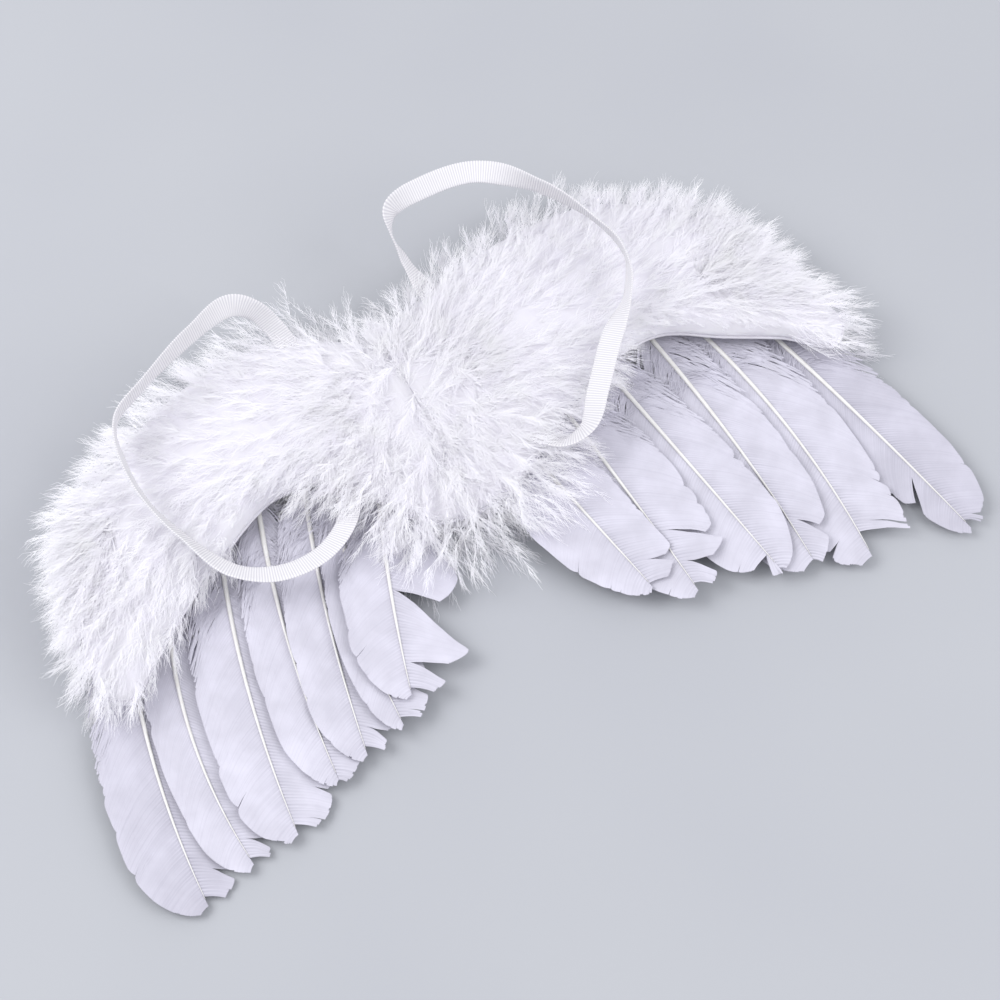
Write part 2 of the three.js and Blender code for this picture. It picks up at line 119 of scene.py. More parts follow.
# Splits between barbs: flank 1 is the outer vane, along where the split opens at the vane's edge, deep
# a share of the vane's width and open a share of the feather's length
Split = namedtuple("Split", "flank along deep open")
SPLITS = {
    "right_1": [Split(1, 0.93, 0.35, 0.03)],
    "right_2": [Split(1, 0.84, 0.9, 0.03), Split(1, 0.93, 0.6, 0.05), Split(1, 0.73, 0.85, 0.006)],
    "right_3": [Split(-1, 0.965, 0.95, 0.05), Split(1, 0.62, 0.5, 0.01)],
    "right_4": [Split(1, 0.9, 0.7, 0.03)],
    "right_5": [Split(-1, 0.93, 0.4, 0.02), Split(1, 0.8, 0.3, 0.01)],
    "right_6": [Split(-1, 0.84, 0.8, 0.03), Split(1, 0.97, 0.5, 0.015)],
    "left_1": [Split(-1, 0.7, 0.95, 0.15), Split(-1, 0.915, 0.9, 0.06), Split(1, 0.8, 0.6, 0.006)],
    "left_2": [Split(-1, 0.88, 0.5, 0.04)],
    "left_3": [Split(-1, 0.94, 0.4, 0.03)],
    "left_4": [Split(-1, 0.85, 0.6, 0.03)],
    "left_5": [Split(-1, 0.9, 0.3, 0.015), Split(1, 0.86, 0.5, 0.008)],
    "left_6": [Split(-1, 0.86, 0.5, 0.03), Split(-1, 0.95, 0.5, 0.03)],
    "left_7": [Split(-1, 0.92, 0.4, 0.03), Split(1, 0.55, 0.7, 0.006)],
}

# Arm loops from the sewn end at the neck to the one below: high is a share of the loop's height, and
# lean the angle in degrees between the elastic's width and the level
Loop = namedtuple("Loop", "out up high lean")
LOOPS = {
    "right": [Loop(*row) for row in (
        (0.17, 0.62, 0, 0), (0.15, 0.78, 0.12, 15), (0.13, 0.94, 0.38, 50), (0.12, 1.05, 0.7, 80),
        (0.14, 1.13, 0.93, 60), (0.23, 1.16, 1, 35), (0.36, 1.13, 1, 25), (0.48, 0.92, 0.95, 88),
        (0.56, 0.66, 0.8, 108), (0.585, 0.46, 0.72, 98), (0.55, 0.26, 0.67, 72),
        (0.45, 0.04, 0.62, 12), (0.37, -0.16, 0.55, 15), (0.31, -0.3, 0.43, 35),
        (0.25, -0.29, 0.25, 35), (0.19, -0.11, 0.1, 10), (0.14, 0.08, 0, 0),
    )],
    "left": [Loop(*row) for row in (
        (0.18, 0.6, 0, 0), (0.2, 0.76, 0.1, 10), (0.22, 0.89, 0.34, 45), (0.25, 0.96, 0.6, 60),
        (0.3, 0.99, 0.78, 45), (0.41, 0.9, 0.86, 75), (0.55, 0.76, 0.8, 93), (0.64, 0.64, 0.75, 95),
        (0.66, 0.45, 0.68, 78), (0.65, 0.22, 0.58, 72), (0.61, 0, 0.48, 60),
        (0.54, -0.24, 0.32, 35), (0.45, -0.33, 0.22, 22), (0.35, -0.32, 0.17, 20),
        (0.27, -0.22, 0.15, 20), (0.22, -0.03, 0.06, 0), (0.19, 0.1, 0, 0),
    )],
}

# Stretches of the lower edge where the trim of down stops at the felt, so that its clean edge shows over
# the quills: start and stop are shares of the wing's reach
Hem = namedtuple("Hem", "start stop")
HEMS = {"right": Hem(0.44, 0.84), "left": Hem(0.3, 0.48)}

# The two coats of marabou plumes: rows from the arm out to the felt's edge, then the upward angle in
# degrees and the share of a plume's length beside the arm and at the edge, and how much longer the
# plumes at the foot of the midline are, with how many are added there
Coat = namedtuple("Coat", "rows lift edge_lift reach edge_reach tail foot")
COATS = {"front": Coat(11, 14, -7, 1, 0.58, 1.7, 26), "back": Coat(8, -9, 0, 1.1, 0.7, 1, 8)}

# How much longer than usual the plumes at the felt's edge are: place is a share of the edge from the top
# of the midline round to its foot
Fringe = namedtuple("Fringe", "place longer")
FRINGES = {
    "right": [Fringe(*row) for row in (
        (0, 1.45), (0.15, 1.5), (0.22, 1.6), (0.28, 0.8), (0.34, 0.7), (0.5, 0.75), (0.55, 1.25),
        (0.62, 1),
    )],
    "left": [Fringe(*row) for row in (
        (0, 1.5), (0.04, 2.2), (0.1, 2.4), (0.15, 1.3), (0.24, 1), (0.3, 0.68), (0.45, 0.68),
        (0.52, 1),
    )],
}


def linear(code):
    """An sRGB hex colour as linear red, green, blue and alpha."""
    shares = [int(code[i:i + 2], 16) / 255 for i in (1, 3, 5)]
    return (*[s / 12.92 if s <= 0.04045 else ((s + 0.055) / 1.055) ** 2.4 for s in shares], 1)


def length(name, description, default):
    """A length that a user can set."""
    return FloatProperty(
        name=name, description=description, default=default, min=0, precision=4, unit="LENGTH"
    )


def power(name, description, default):
    """A light's power that a user can set."""
    return FloatProperty(name=name, description=description, default=default, min=0, unit="POWER")


def share(name, description, default, high=1):
    """A plain share that a user can set."""
    return FloatProperty(name=name, description=description, default=default, min=0, max=high)


def colour(name, description, code):
    """A colour that a user can set, from its sRGB hex value."""
    return FloatVectorProperty(
        name=name, description=description, default=linear(code), size=4, min=0, max=1, subtype="COLOR"
    )


class WingSettings(bpy.types.PropertyGroup):
    """Sizes that all the pieces share"""

    reach: length("Reach", "Midline to the outer end of the felt", 190 * MM)
    rise: length("Rise", "Level where the feathers show to the top of the felt", 90 * MM)
    back_loft: length("Back loft", "Down between the floor and the felt", 14 * MM)
    front_loft: length("Front loft", "Down padding on the felt", 11 * MM)
    gap: length("Gap", "Clearance between neighbouring pieces", 0.3 * MM)


class FeltSettings(bpy.types.PropertyGroup):
    """Felt backing"""

    thickness: length("Thickness", "Thickness of the felt", 1.6 * MM)
    rounding: length("Rounding", "How far the cut edge is rubbed round", 0.4 * MM)
    fray: length("Fray", "How uneven the cut edge is", 0.15 * MM)
    colour: colour("Colour", "Needled white felt", "#d6d4dc")


class FeatherSettings(bpy.types.PropertyGroup):
    """Goose flight feathers"""

    length: length("Length", "Longest feather from quill end to tip", 150 * MM)
    width: length("Width", "Widest vane, both sides together", 44 * MM)
    vane: length("Vane", "Thickness that a vane takes up", 0.8 * MM)
    quill_width: length("Quill width", "Width of the quill at its end", 2.6 * MM)
    quill_height: length("Quill height", "How far the quill stands out of the vane", 1 * MM)
    droop: length("Droop", "How far the tips bend down", 2.5 * MM)
    barb_pitch: length("Barb pitch", "Distance between barbs along the quill", 0.5 * MM)
    vane_colour: colour("Vane colour", "Bleached goose vane", "#b8b6c2")
    # Low tints turn a vane to the shade colour: thinner barbs at random, and painted shade in the stripes
    # beside the quills and over the outermost feather
    shade_colour: colour("Shade colour", "Thinner barbs", "#8e8c9a")
    quill_colour: colour("Quill colour", "Ivory white quill", "#dcdbda")


class DownSettings(bpy.types.PropertyGroup):
    """Marabou down"""

    plume: length("Plume", "Length of a plume's shaft", 20 * MM)
    strand: length("Strand", "Length of the longest strands", 13 * MM)
    strand_width: length("Strand width", "Width of a strand at its root", 0.26 * MM)
    pitch: length("Pitch", "Distance between plumes in a row", 6 * MM)
    strands: IntProperty(name="Strands", description="Strands on a plume", default=40, min=10, max=120)
    softness: share("Softness", "How far strands are lit as one soft surface", 0.85)
    colour: colour("Colour", "White down", "#fefeff")


class ElasticSettings(bpy.types.PropertyGroup):
    """Knitted elastic"""

    width: length("Width", "Width of the elastic", 10 * MM)
    thickness: length("Thickness", "Thickness of the elastic", 1.1 * MM)
    loop_height: length("Loop height", "How far a loop stands above the felt", 32 * MM)
    rib_pitch: length("Rib pitch", "Distance between the cross ribs", 1.1 * MM)
    colour: colour("Colour", "White elastic", "#dcdbdd")


class StageSettings(bpy.types.PropertyGroup):
    """Floor, lights and camera"""

    floor_colour: colour("Floor colour", "Pale studio floor", "#a9abb0")
    key_power: power("Key", "Power of the key light", 14)
    fill_power: power("Fill", "Power of the fill light", 13)
    sky: share("Sky", "Brightness all round", 1.0, high=4)


class AngelWings(bpy.types.PropertyGroup):
    """Everything that can be set"""

    wing: PointerProperty(type=WingSettings)
    felt: PointerProperty(type=FeltSettings)
    feather: PointerProperty(type=FeatherSettings)
    down: PointerProperty(type=DownSettings)
    elastic: PointerProperty(type=ElasticSettings)
    stage: PointerProperty(type=StageSettings)


def settings():
    return bpy.context.scene.angel_wings


def unit(vectors):
    return vectors / np.maximum(np.linalg.norm(vectors, axis=-1, keepdims=True), 1e-12)


def smoothstep(value, low, high):
    part = np.clip((value - low) / (high - low), 0, 1)
    return part * part * (3 - 2 * part)


def smooth_curve(points, shares):
    """Points on a centripetal Catmull-Rom curve, at shares of its count of spans."""
    points = np.asarray(points, dtype=float)
    ends = np.vstack([2 * points[0] - points[1], points, 2 * points[-1] - points[-2]])
    place = np.clip(shares, 0, 1) * (len(points) - 1)
    span = np.minimum(place.astype(int), len(points) - 2)
    part = (place - span)[:, None]
    a, b, c, d = (ends[span + k] for k in range(4))
    ab, bc, cd = (np.sum((q - p) ** 2, axis=1)[:, None] ** 0.25 for p, q in ((a, b), (b, c), (c, d)))
    leave = ((b - a) / ab - (c - a) / (ab + bc) + (c - b) / bc) * bc
    arrive = ((c - b) / bc - (d - b) / (bc + cd) + (d - c) / cd) * bc
    square = 3 * (c - b) - 2 * leave - arrive
    cube = 2 * (b - c) + leave + arrive
    return b + part * (leave + part * (square + part * cube))


def spans(points):
    """Lengths of a polyline's straight pieces."""
    return np.linalg.norm(np.diff(points, axis=0), axis=1)


def travelled(points):
    """How far along a polyline each of its points lies."""
    return np.concatenate([[0], np.cumsum(spans(points))])


def spaced(points, shares):
    """Points at shares of a polyline's length."""
    along = travelled(points)
    return np.stack([np.interp(shares * along[-1], along, axis) for axis in points.T], axis=-1)


def in_plan(side, row):
    """Where a row of a table lies in plan: its out and up are shares of the wing's reach and rise."""
    size = settings().wing
    return side * row.out * size.reach, row.up * size.rise


def edge_line(wing):
    """The felt's edge of one wing, in plan, from the neck round to the foot of the midline."""
    table = [in_plan(SIDES[wing], row) for row in EDGES[wing]]
    return smooth_curve(table, np.linspace(0, 1, EDGE_STEPS + 1))


def felt_outline():
    return np.vstack([edge_line("right"), edge_line("left")[-2:0:-1]])


def frame_shift():
    """From the drawing of the wings to their place in the frame."""
    outline = felt_outline()
    middle = (outline.min(axis=0) + outline.max(axis=0)) / 2
    low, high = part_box("backing")
    return np.array([(low[0] + high[0]) / 2 - middle[0], (low[1] + high[1]) / 2 - middle[1], 0])


def felt_levels():
    """Levels of the felt's lower and upper face."""
    size = settings()
    return size.wing.back_loft, size.wing.back_loft + size.felt.thickness


# A part of a mesh: its points and faces, a tint and perhaps a normal for each point, and which of the
# mesh's materials it has
Part = namedtuple("Part", "points faces tint normals finish")


def grid_faces(shape, closed=False):
    """Quads over strips of points: how many strips, steps along each and points across each."""
    index = np.arange(np.prod(shape)).reshape(shape)
    if closed:
        index = np.concatenate([index, index[:, :, :1]], axis=2)
    corners = [index[:, :-1, :-1], index[:, :-1, 1:], index[:, 1:, 1:], index[:, 1:, :-1]]
    return np.stack(corners, axis=-1).reshape(-1, 4)


def strips(rows, tint=1.0, normals=None, finish=0, closed=False):
    """A mesh part over an array of points: strips, steps along each, points across each."""
    shape = rows.shape[:3]
    return Part(
        rows.reshape(-1, 3),
        grid_faces(shape, closed),
        np.broadcast_to(tint, shape).reshape(-1),
        None if normals is None else np.broadcast_to(normals, rows.shape).reshape(-1, 3),
        finish,
    )


def caps(rings):
    """Fans that close the first and last ring of a tube."""
    sides = len(rings[0])
    spokes = np.arange(1, sides - 1)
    first = np.stack([np.zeros_like(spokes), spokes + 1, spokes], axis=-1)
    last = np.stack([np.zeros_like(spokes), spokes, spokes + 1], axis=-1) + (len(rings) - 1) * sides
    return np.vstack([first, last])


def add_mesh(name, parts, materials):
    """Makes one object of all the parts, shifted to the frame's place."""
    mesh = bpy.data.meshes.new(name)
    points = np.vstack([part.points for part in parts]) + frame_shift()
    loops, starts, finishes = [], [], []
    offset, begun = 0, 0
    for part in parts:
        for faces in part.faces if isinstance(part.faces, list) else [part.faces]:
            loops.append((faces + offset).ravel())
            starts.append(begun + np.arange(len(faces)) * faces.shape[1])
            finishes.append(np.full(len(faces), part.finish))
            begun += faces.size
        offset += len(part.points)
    mesh.vertices.add(len(points))
    mesh.vertices.foreach_set("co", points.astype(np.float32).ravel())
    mesh.loops.add(begun)
    mesh.loops.foreach_set("vertex_index", np.concatenate(loops).astype(np.int32))
    mesh.polygons.add(sum(len(s) for s in starts))
    mesh.polygons.foreach_set("loop_start", np.concatenate(starts).astype(np.int32))
    mesh.polygons.foreach_set("material_index", np.concatenate(finishes).astype(np.int32))
    mesh.update(calc_edges=True)
    mesh.validate()
    mesh.shade_smooth()
    tint = mesh.attributes.new("tint", "FLOAT", "POINT")
    tint.data.foreach_set("value", np.concatenate([part.tint for part in parts]).astype(np.float32))
    if any(part.normals is not None for part in parts):
        normals = np.vstack([
            np.zeros_like(part.points) if part.normals is None else part.normals for part in parts
        ])
        mesh.normals_split_custom_set_from_vertices(normals.tolist())
    for material in materials:
        mesh.materials.append(material)
    made = bpy.data.objects.new(name, mesh)
    bpy.context.scene.collection.objects.link(made)
    return made


def settle(piece, node):
    """The piece takes its node's place on the part's one body."""
    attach(piece, "root")
    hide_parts(node)


# Finishes

# Places of a Mix node's sockets for colours, which have the same names as those for other types
MIX_SHARE = 0
MIX_ONE = 6
MIX_OTHER = 7
MIX_RESULT = 2


def add_node(material, kind, inputs=None, **options):
    """Adds a node with its options, and sets or links its inputs."""
    made = material.node_tree.nodes.new("ShaderNode" + kind)
    for name, value in options.items():
        setattr(made, name, value)
    for name, value in (inputs or {}).items():
        if isinstance(value, bpy.types.NodeSocket):
            material.node_tree.links.new(value, made.inputs[name])
        else:
            made.inputs[name].default_value = value
    return made


def blank_material(name):
    material = bpy.data.materials.new(name)
    material.use_nodes = True
    material.node_tree.nodes.clear()
    return material


def surface(material, glow=None, share=0.0, **inputs):
    """Ends the material in a Principled surface, through which a share of the light passes where a glow
    colour is given. Names are given with _ for spaces."""
    made = add_node(material, "BsdfPrincipled", {name.replace("_", " "): v for name, v in inputs.items()})
    shader = made.outputs["BSDF"]
    if glow is not None:
        through = add_node(material, "BsdfTranslucent", {"Color": glow}).outputs["BSDF"]
        shader = add_node(material, "MixShader", {0: share, 1: shader, 2: through}).outputs["Shader"]
    add_node(material, "OutputMaterial", {"Surface": shader})


def patches(material, size, limits, one, other, detail=3):
    """One colour in another, in soft patches of a real size. The noise turns from one colour to the
    other between two limits."""
    place = add_node(material, "TexCoord").outputs["Object"]
    cloud = add_node(material, "TexNoise", {"Vector": place, "Scale": 1 / size, "Detail": detail})
    part = add_node(material, "MapRange", {
        "Value": cloud.outputs["Fac"], "From Min": limits[0], "From Max": limits[1],
    })
    inputs = {MIX_SHARE: part.outputs["Result"], MIX_ONE: one, MIX_OTHER: other}
    return add_node(material, "Mix", inputs, data_type="RGBA").outputs[MIX_RESULT]


def shaded(material, one, other):
    """The first colour where a mesh's tint is 0 and the other where it is 1."""
    tint = add_node(material, "Attribute", attribute_name="tint").outputs["Fac"]
    inputs = {MIX_SHARE: tint, MIX_ONE: one, MIX_OTHER: other}
    return add_node(material, "Mix", inputs, data_type="RGBA").outputs[MIX_RESULT]


def relief(material, size, depth, strength, detail=2, roughness=0.5):
    """Fine relief with grains or fibres of a real size and depth."""
    place = add_node(material, "TexCoord").outputs["Object"]
    grain = add_node(material, "TexNoise", {
        "Vector": place, "Scale": 1 / size, "Detail": detail, "Roughness": roughness,
    })
    return add_node(material, "Bump", {
        "Height": grain.outputs["Fac"], "Distance": depth, "Strength": strength,
    }).outputs["Normal"]


def goose_vane():
    """Bleached goose vane: barbs zipped together, matt with a faint silky sheen. Thin barbs look
    greyer, and the barbules give a grain as fine as the eye can see. The tint also carries painted
    shade: dark stripes beside the quills and a greyer outermost feather."""
    size = settings().feather
    material = blank_material("bleached_goose_vane")
    pale = patches(material, 14 * MM, (0.35, 0.7), tuple(size.vane_colour), linear("#c6c4d1"))
    surface(
        material, Base_Color=shaded(material, tuple(size.shade_colour), pale),
        Roughness=0.62, IOR=1.54, Sheen_Weight=0.15, Sheen_Roughness=0.4,
        Normal=relief(material, 0.35 * MM, 0.05 * MM, strength=0.3),
    )
    return material


def goose_quill():
    """Keratin quill: smooth, ivory white and slightly glossy, with faint cloudy marks along it."""
    size = settings().feather
    material = blank_material("ivory_goose_quill")
    tone = patches(material, 4 * MM, (0.3, 0.75), tuple(size.quill_colour), linear("#d2d0cd"))
    surface(material, Base_Color=tone, Roughness=0.34, IOR=1.54)
    return material


def marabou_down():
    """Marabou down: fluffy strands with no gloss, so bright that only the hollows turn lavender grey. The
    padding that shows in those hollows gets that grey as painted shade.
    """
    size = settings().down
    material = blank_material("white_marabou_down")
    pale = patches(material, 9 * MM, (0.3, 0.75), linear("#fcfbff"), tuple(size.colour))
    # Low tints are lavender grey: painted shade on the padding, and greyer strands at random
    tone = shaded(material, linear("#f3f0fa"), pale)
    surface(
        material, glow=tone, share=0.5, Base_Color=tone, Roughness=1.0, Specular_IOR_Level=0.1,
        Sheen_Weight=0.5, Sheen_Roughness=0.5,
    )
    return material


def needled_felt():
    """Needle-punched felt: matt, with a nap of short crossing fibres that catches a little light."""
    size = settings().felt
    material = blank_material("needled_white_felt")
    surface(
        material,
        Base_Color=patches(material, 6 * MM, (0.3, 0.7), tuple(size.colour), linear("#cdcbd3"), detail=2),
        Roughness=0.95, Specular_IOR_Level=0.2, Sheen_Weight=0.25,
        Normal=relief(material, 0.5 * MM, 0.15 * MM, strength=0.7, detail=6, roughness=0.7),
    )
    return material


def knitted_elastic():
    """Knitted elastic: matt polyester yarn over rubber, so the ribs stand up and the yarn shows as a
    fine grain, drawn about twice as coarse as it is. The grooves between the ribs are painted darker as
    shade."""
    size = settings().elastic
    material = blank_material("knitted_white_elastic")
    surface(
        # The tint follows the ribs: the grooves between them get the darker colour as painted shade
        material, Base_Color=shaded(material, linear("#bdbbc2"), tuple(size.colour)),
        Roughness=0.8, Sheen_Weight=0.1,
        Normal=relief(material, 0.3 * MM, 0.08 * MM, strength=0.6, detail=3),
    )
    return material


def studio_floor():
    """Matt card: plain and pale, with a faint tooth."""
    size = settings().stage
    material = blank_material("matt_studio_card")
    surface(
        material,
        Base_Color=patches(
            material, 200 * MM, (0.3, 0.7), tuple(size.floor_colour), linear("#a5a7ad"), detail=2
        ),
        Roughness=0.9, Specular_IOR_Level=0.2,
        Normal=relief(material, 0.6 * MM, 0.05 * MM, strength=0.3),
    )
    return material


# Felt backing

FELT_SEED = 11
FRAY_RUN = 5          # points of the edge over which a frayed spot goes


def make_backing():
    """The felt of both wings: one flat sheet with a rounded and slightly frayed edge."""
    size = settings().felt
    rng = np.random.default_rng(FELT_SEED)
    low, high = felt_levels()
    outline = felt_outline()
    outwards = unit(np.roll(outline, -1, axis=0) - np.roll(outline, 1, axis=0))[:, ::-1] * (-1, 1)
    fray = rng.normal(0, size.fray, len(outline) + FRAY_RUN - 1)
    fray = np.convolve(fray, np.ones(FRAY_RUN) / FRAY_RUN, "valid")
    rounding = size.rounding
    profile = [(-rounding, low), (0, low + rounding), (0, high - rounding), (-rounding, high)]
    rings = []
    for inset, level in profile:
        ring = outline + outwards * (inset + fray)[:, None]
        rings.append(np.column_stack([ring, np.full(len(ring), level)]))
    rings = np.array(rings)
    count = len(outline)
    flat = np.array(tessellate_polygon([[Vector(p) for p in rings[0]]]))
    sides = grid_faces((1, len(rings), count), closed=True)
    faces = [sides, flat[:, ::-1], flat + (len(rings) - 1) * count]
    points = rings.reshape(-1, 3)
    part = Part(points, faces, np.ones(len(points)), None, 0)
    backing = add_mesh("felt_backing", [part], [needled_felt()])
    x, y = outline.T
    area = abs(np.sum(x * np.roll(y, -1) - y * np.roll(x, -1))) / 2
    settle(backing, "backing")
    width, height = np.ptp(x), np.ptp(y)


# Feathers

ROOT_RISE = 0.13      # share of the length in which the bare quill climbs to the felt
QUILL_TAPER = 0.85    # how much of its thickness a quill loses by its tip
QUILL_POINT = 0.15    # the rest of it, which a quill loses near its tip
QUILL_STOP = 0.96     # where a quill ends, as a share of the feather's length
QUILL_SINK = 0.45     # how deep a quill lies in the vane, as a share of the vane's thickness
QUILL_SIDES = 10
QUILL_STEPS = 40
QUILL_PITCH = 0.137   # usual distance between two quills, as a share of the wing's reach
ROUTE_STEPS = 240     # straight pieces in which a quill's bend is worked out
WIDEST_VANE = 0.55    # widest vane on one side, as a share of a feather's width
VANE_STEPS = 200      # pieces in which a vane's width is worked out
VANE_SMOOTHING = 6    # how many of them to either side its outline is smoothed over

BARB_STEPS = 8
FIRST_BARB = 0.04     # where the first barb leaves the quill, as a share of the feather's length
BARB_SEAT = 0.5       # how far from the quill's middle barbs begin, as a share of half its width
BARB_RAKE = 0.28      # how far barbs run towards the tip, as a share of the length
BARB_CURVE = 0.4      # how much more they do so near their ends
DOWNY_RAKE = 0.4      # how much less the downy barbs beside the quill's end do so
DOWNY_STOP = 0.4      # share of the length from which barbs run like the rest
BARB_OVERLAP = 1.44   # width of a barb over the distance between two
TIP_SPREAD = 0.3      # how much wider barbs end near the feather's tip, where they fan out
BARB_RIDGE = 0.09 * MM      # how far a barb's middle stands up
BARB_UNEVEN = 0.05    # how uneven a vane's edge is, as a share of its width
EVEN_OVER = 49        # barbs over which that changes
SPLIT_ZONE = 1.25     # how far from a split barbs are pushed aside, over its opening
LEAST_SPLIT = 0.03    # and at least, as a share of the length
SPLIT_WEAR = 0.3      # how much shorter the barbs beside a wide split are at most
TORN = 0.3            # how unevenly a vane's last barbs end, as a share of their length
TORN_ZONE = 0.08      # share of the length over which they do
TORN_TOGETHER = 4     # barbs that end alike there

LOOSE = (0.16, 0.36)  # shares of the length between which loose downy barbs give way to zipped ones
LOOSE_SHORTER = 0.35  # how much shorter than zipped ones loose barbs are at most
LOOSE_WAVE = 0.012    # how far they wave along the feather, as a share of its length
WISPS = 90            # downy barbs beside a quill's end that wave over the vane
WISP_STEPS = 9
WISP_WIDTH = 0.3 * MM
WISP_TAPER = 0.6      # how much of it they lose by their tips
WISP_ROOTS = (0.02, 0.3)    # where they leave the quill, as shares of the length
WISP_RUN = (0.02, 0.12)     # how far they run towards the tip, as shares of the length
WISP_REACH = (0.35, 1)      # how far they reach over the vane, as shares of half the feather's width
WISP_LIFT = (0.2, 1.4)      # how far they stand up, in millimetres

VANE_CUP = 0.25 * MM        # how far a vane arches between the quill and its edge
FOLD_WIDTH = 11 * MM        # soft folds along a vane
FOLD_DEPTH = 0.3 * MM
STRIPE_PITCH = 1.5 * MM     # distance between the lines beside a quill, where barbs bunch up: each is sunk and darkened with painted shade
STRIPE_REACH = 4 * MM       # how far from the quill they fade
STRIPE_DEPTH = 0.12 * MM
STRIPE_PAINTED_SHADE = 0.7          # how much painted shade darkens them below the vane's tint
FAINT_STRIPES = 0.45        # share of their depth and painted shade that is left on a vane to the left of its quill
BARB_SHADE = 0.14           # how much greyer than the palest barb the greyest is
OUTERMOST_PAINTED_SHADE = 0.25      # painted shade over the whole outermost feather, which has no other one under its edge: how much greyer it is drawn


def vane_slope():
    """Height of one layer of feathers, and how steeply a vane rises over its neighbour."""
    size = settings()
    layer = size.feather.vane + size.feather.quill_height + size.wing.gap
    return layer, layer / (QUILL_PITCH * size.wing.reach)


def quill_place(row, side, along):
    """The quill's line in plan at shares of its length, and its angle there."""
    size = settings()
    fine = np.linspace(0, 1, ROUTE_STEPS + 1)
    middle = (fine[1:] + fine[:-1]) / 2
    angle = np.radians(row.splay - row.bend * middle)
    step = row.long * size.feather.length / len(middle)
    x = side * (row.out * size.wing.reach + np.concatenate([[0], np.cumsum(np.sin(angle)) * step]))
    y = row.up * size.wing.rise - np.concatenate([[0], np.cumsum(np.cos(angle)) * step])
    return np.interp(along, fine, x), np.interp(along, fine, y), np.radians(row.splay - row.bend * along)


def on_vane(row, side, depth, along, across, lift):
    """Points of a feather: along is a share of its length, across and lift are lengths from the quill."""
    size = settings()
    layer, slope = vane_slope()
    felt_low, _ = felt_levels()
    half_vane = size.feather.vane / 2
    widest = WIDEST_VANE * size.feather.width
    level = felt_low - (size.wing.gap + slope * widest + half_vane) - depth * layer
    seat = felt_low - size.wing.gap - size.feather.quill_height - half_vane
    root = np.maximum(0, 1 - along / ROOT_RISE)
    x, y, angle = quill_place(row, side, along)
    px = x + side * np.cos(angle) * across
    py = y + np.sin(angle) * across
    droop = size.feather.droop * (np.maximum(0, -py) / size.feather.length) ** 2
    tilt = across * slope * np.minimum(1, along / ROOT_RISE)
    return np.stack([px, py, level + (seat - level) * root + tilt + lift - droop], axis=-1)


def vane_width(along, vane):
    """Share of a vane's full width at each share of the feather's length."""
    fine = np.linspace(0, 1, VANE_STEPS + 1)
    wide = np.interp(fine, [row.along for row in VANE], [row.wide for row in VANE])
    window = np.ones(2 * VANE_SMOOTHING + 1)
    wide = np.convolve(np.pad(wide, VANE_SMOOTHING, mode="edge"), window / len(window), "valid")
    tip = np.clip((fine - vane.tip) / (1 - vane.tip), 0, 1)
    return np.interp(along, fine, wide * np.sqrt(np.clip(1 - tip ** vane.blunt, 0, 1)))


def small_splits(rng, count=3):
    """Fine splits in places that differ from feather to feather."""
    return [
        Split(0, rng.uniform(0.5, 0.95), rng.uniform(0.2, 0.5), rng.uniform(0.002, 0.006))
        for _ in range(count)
    ]


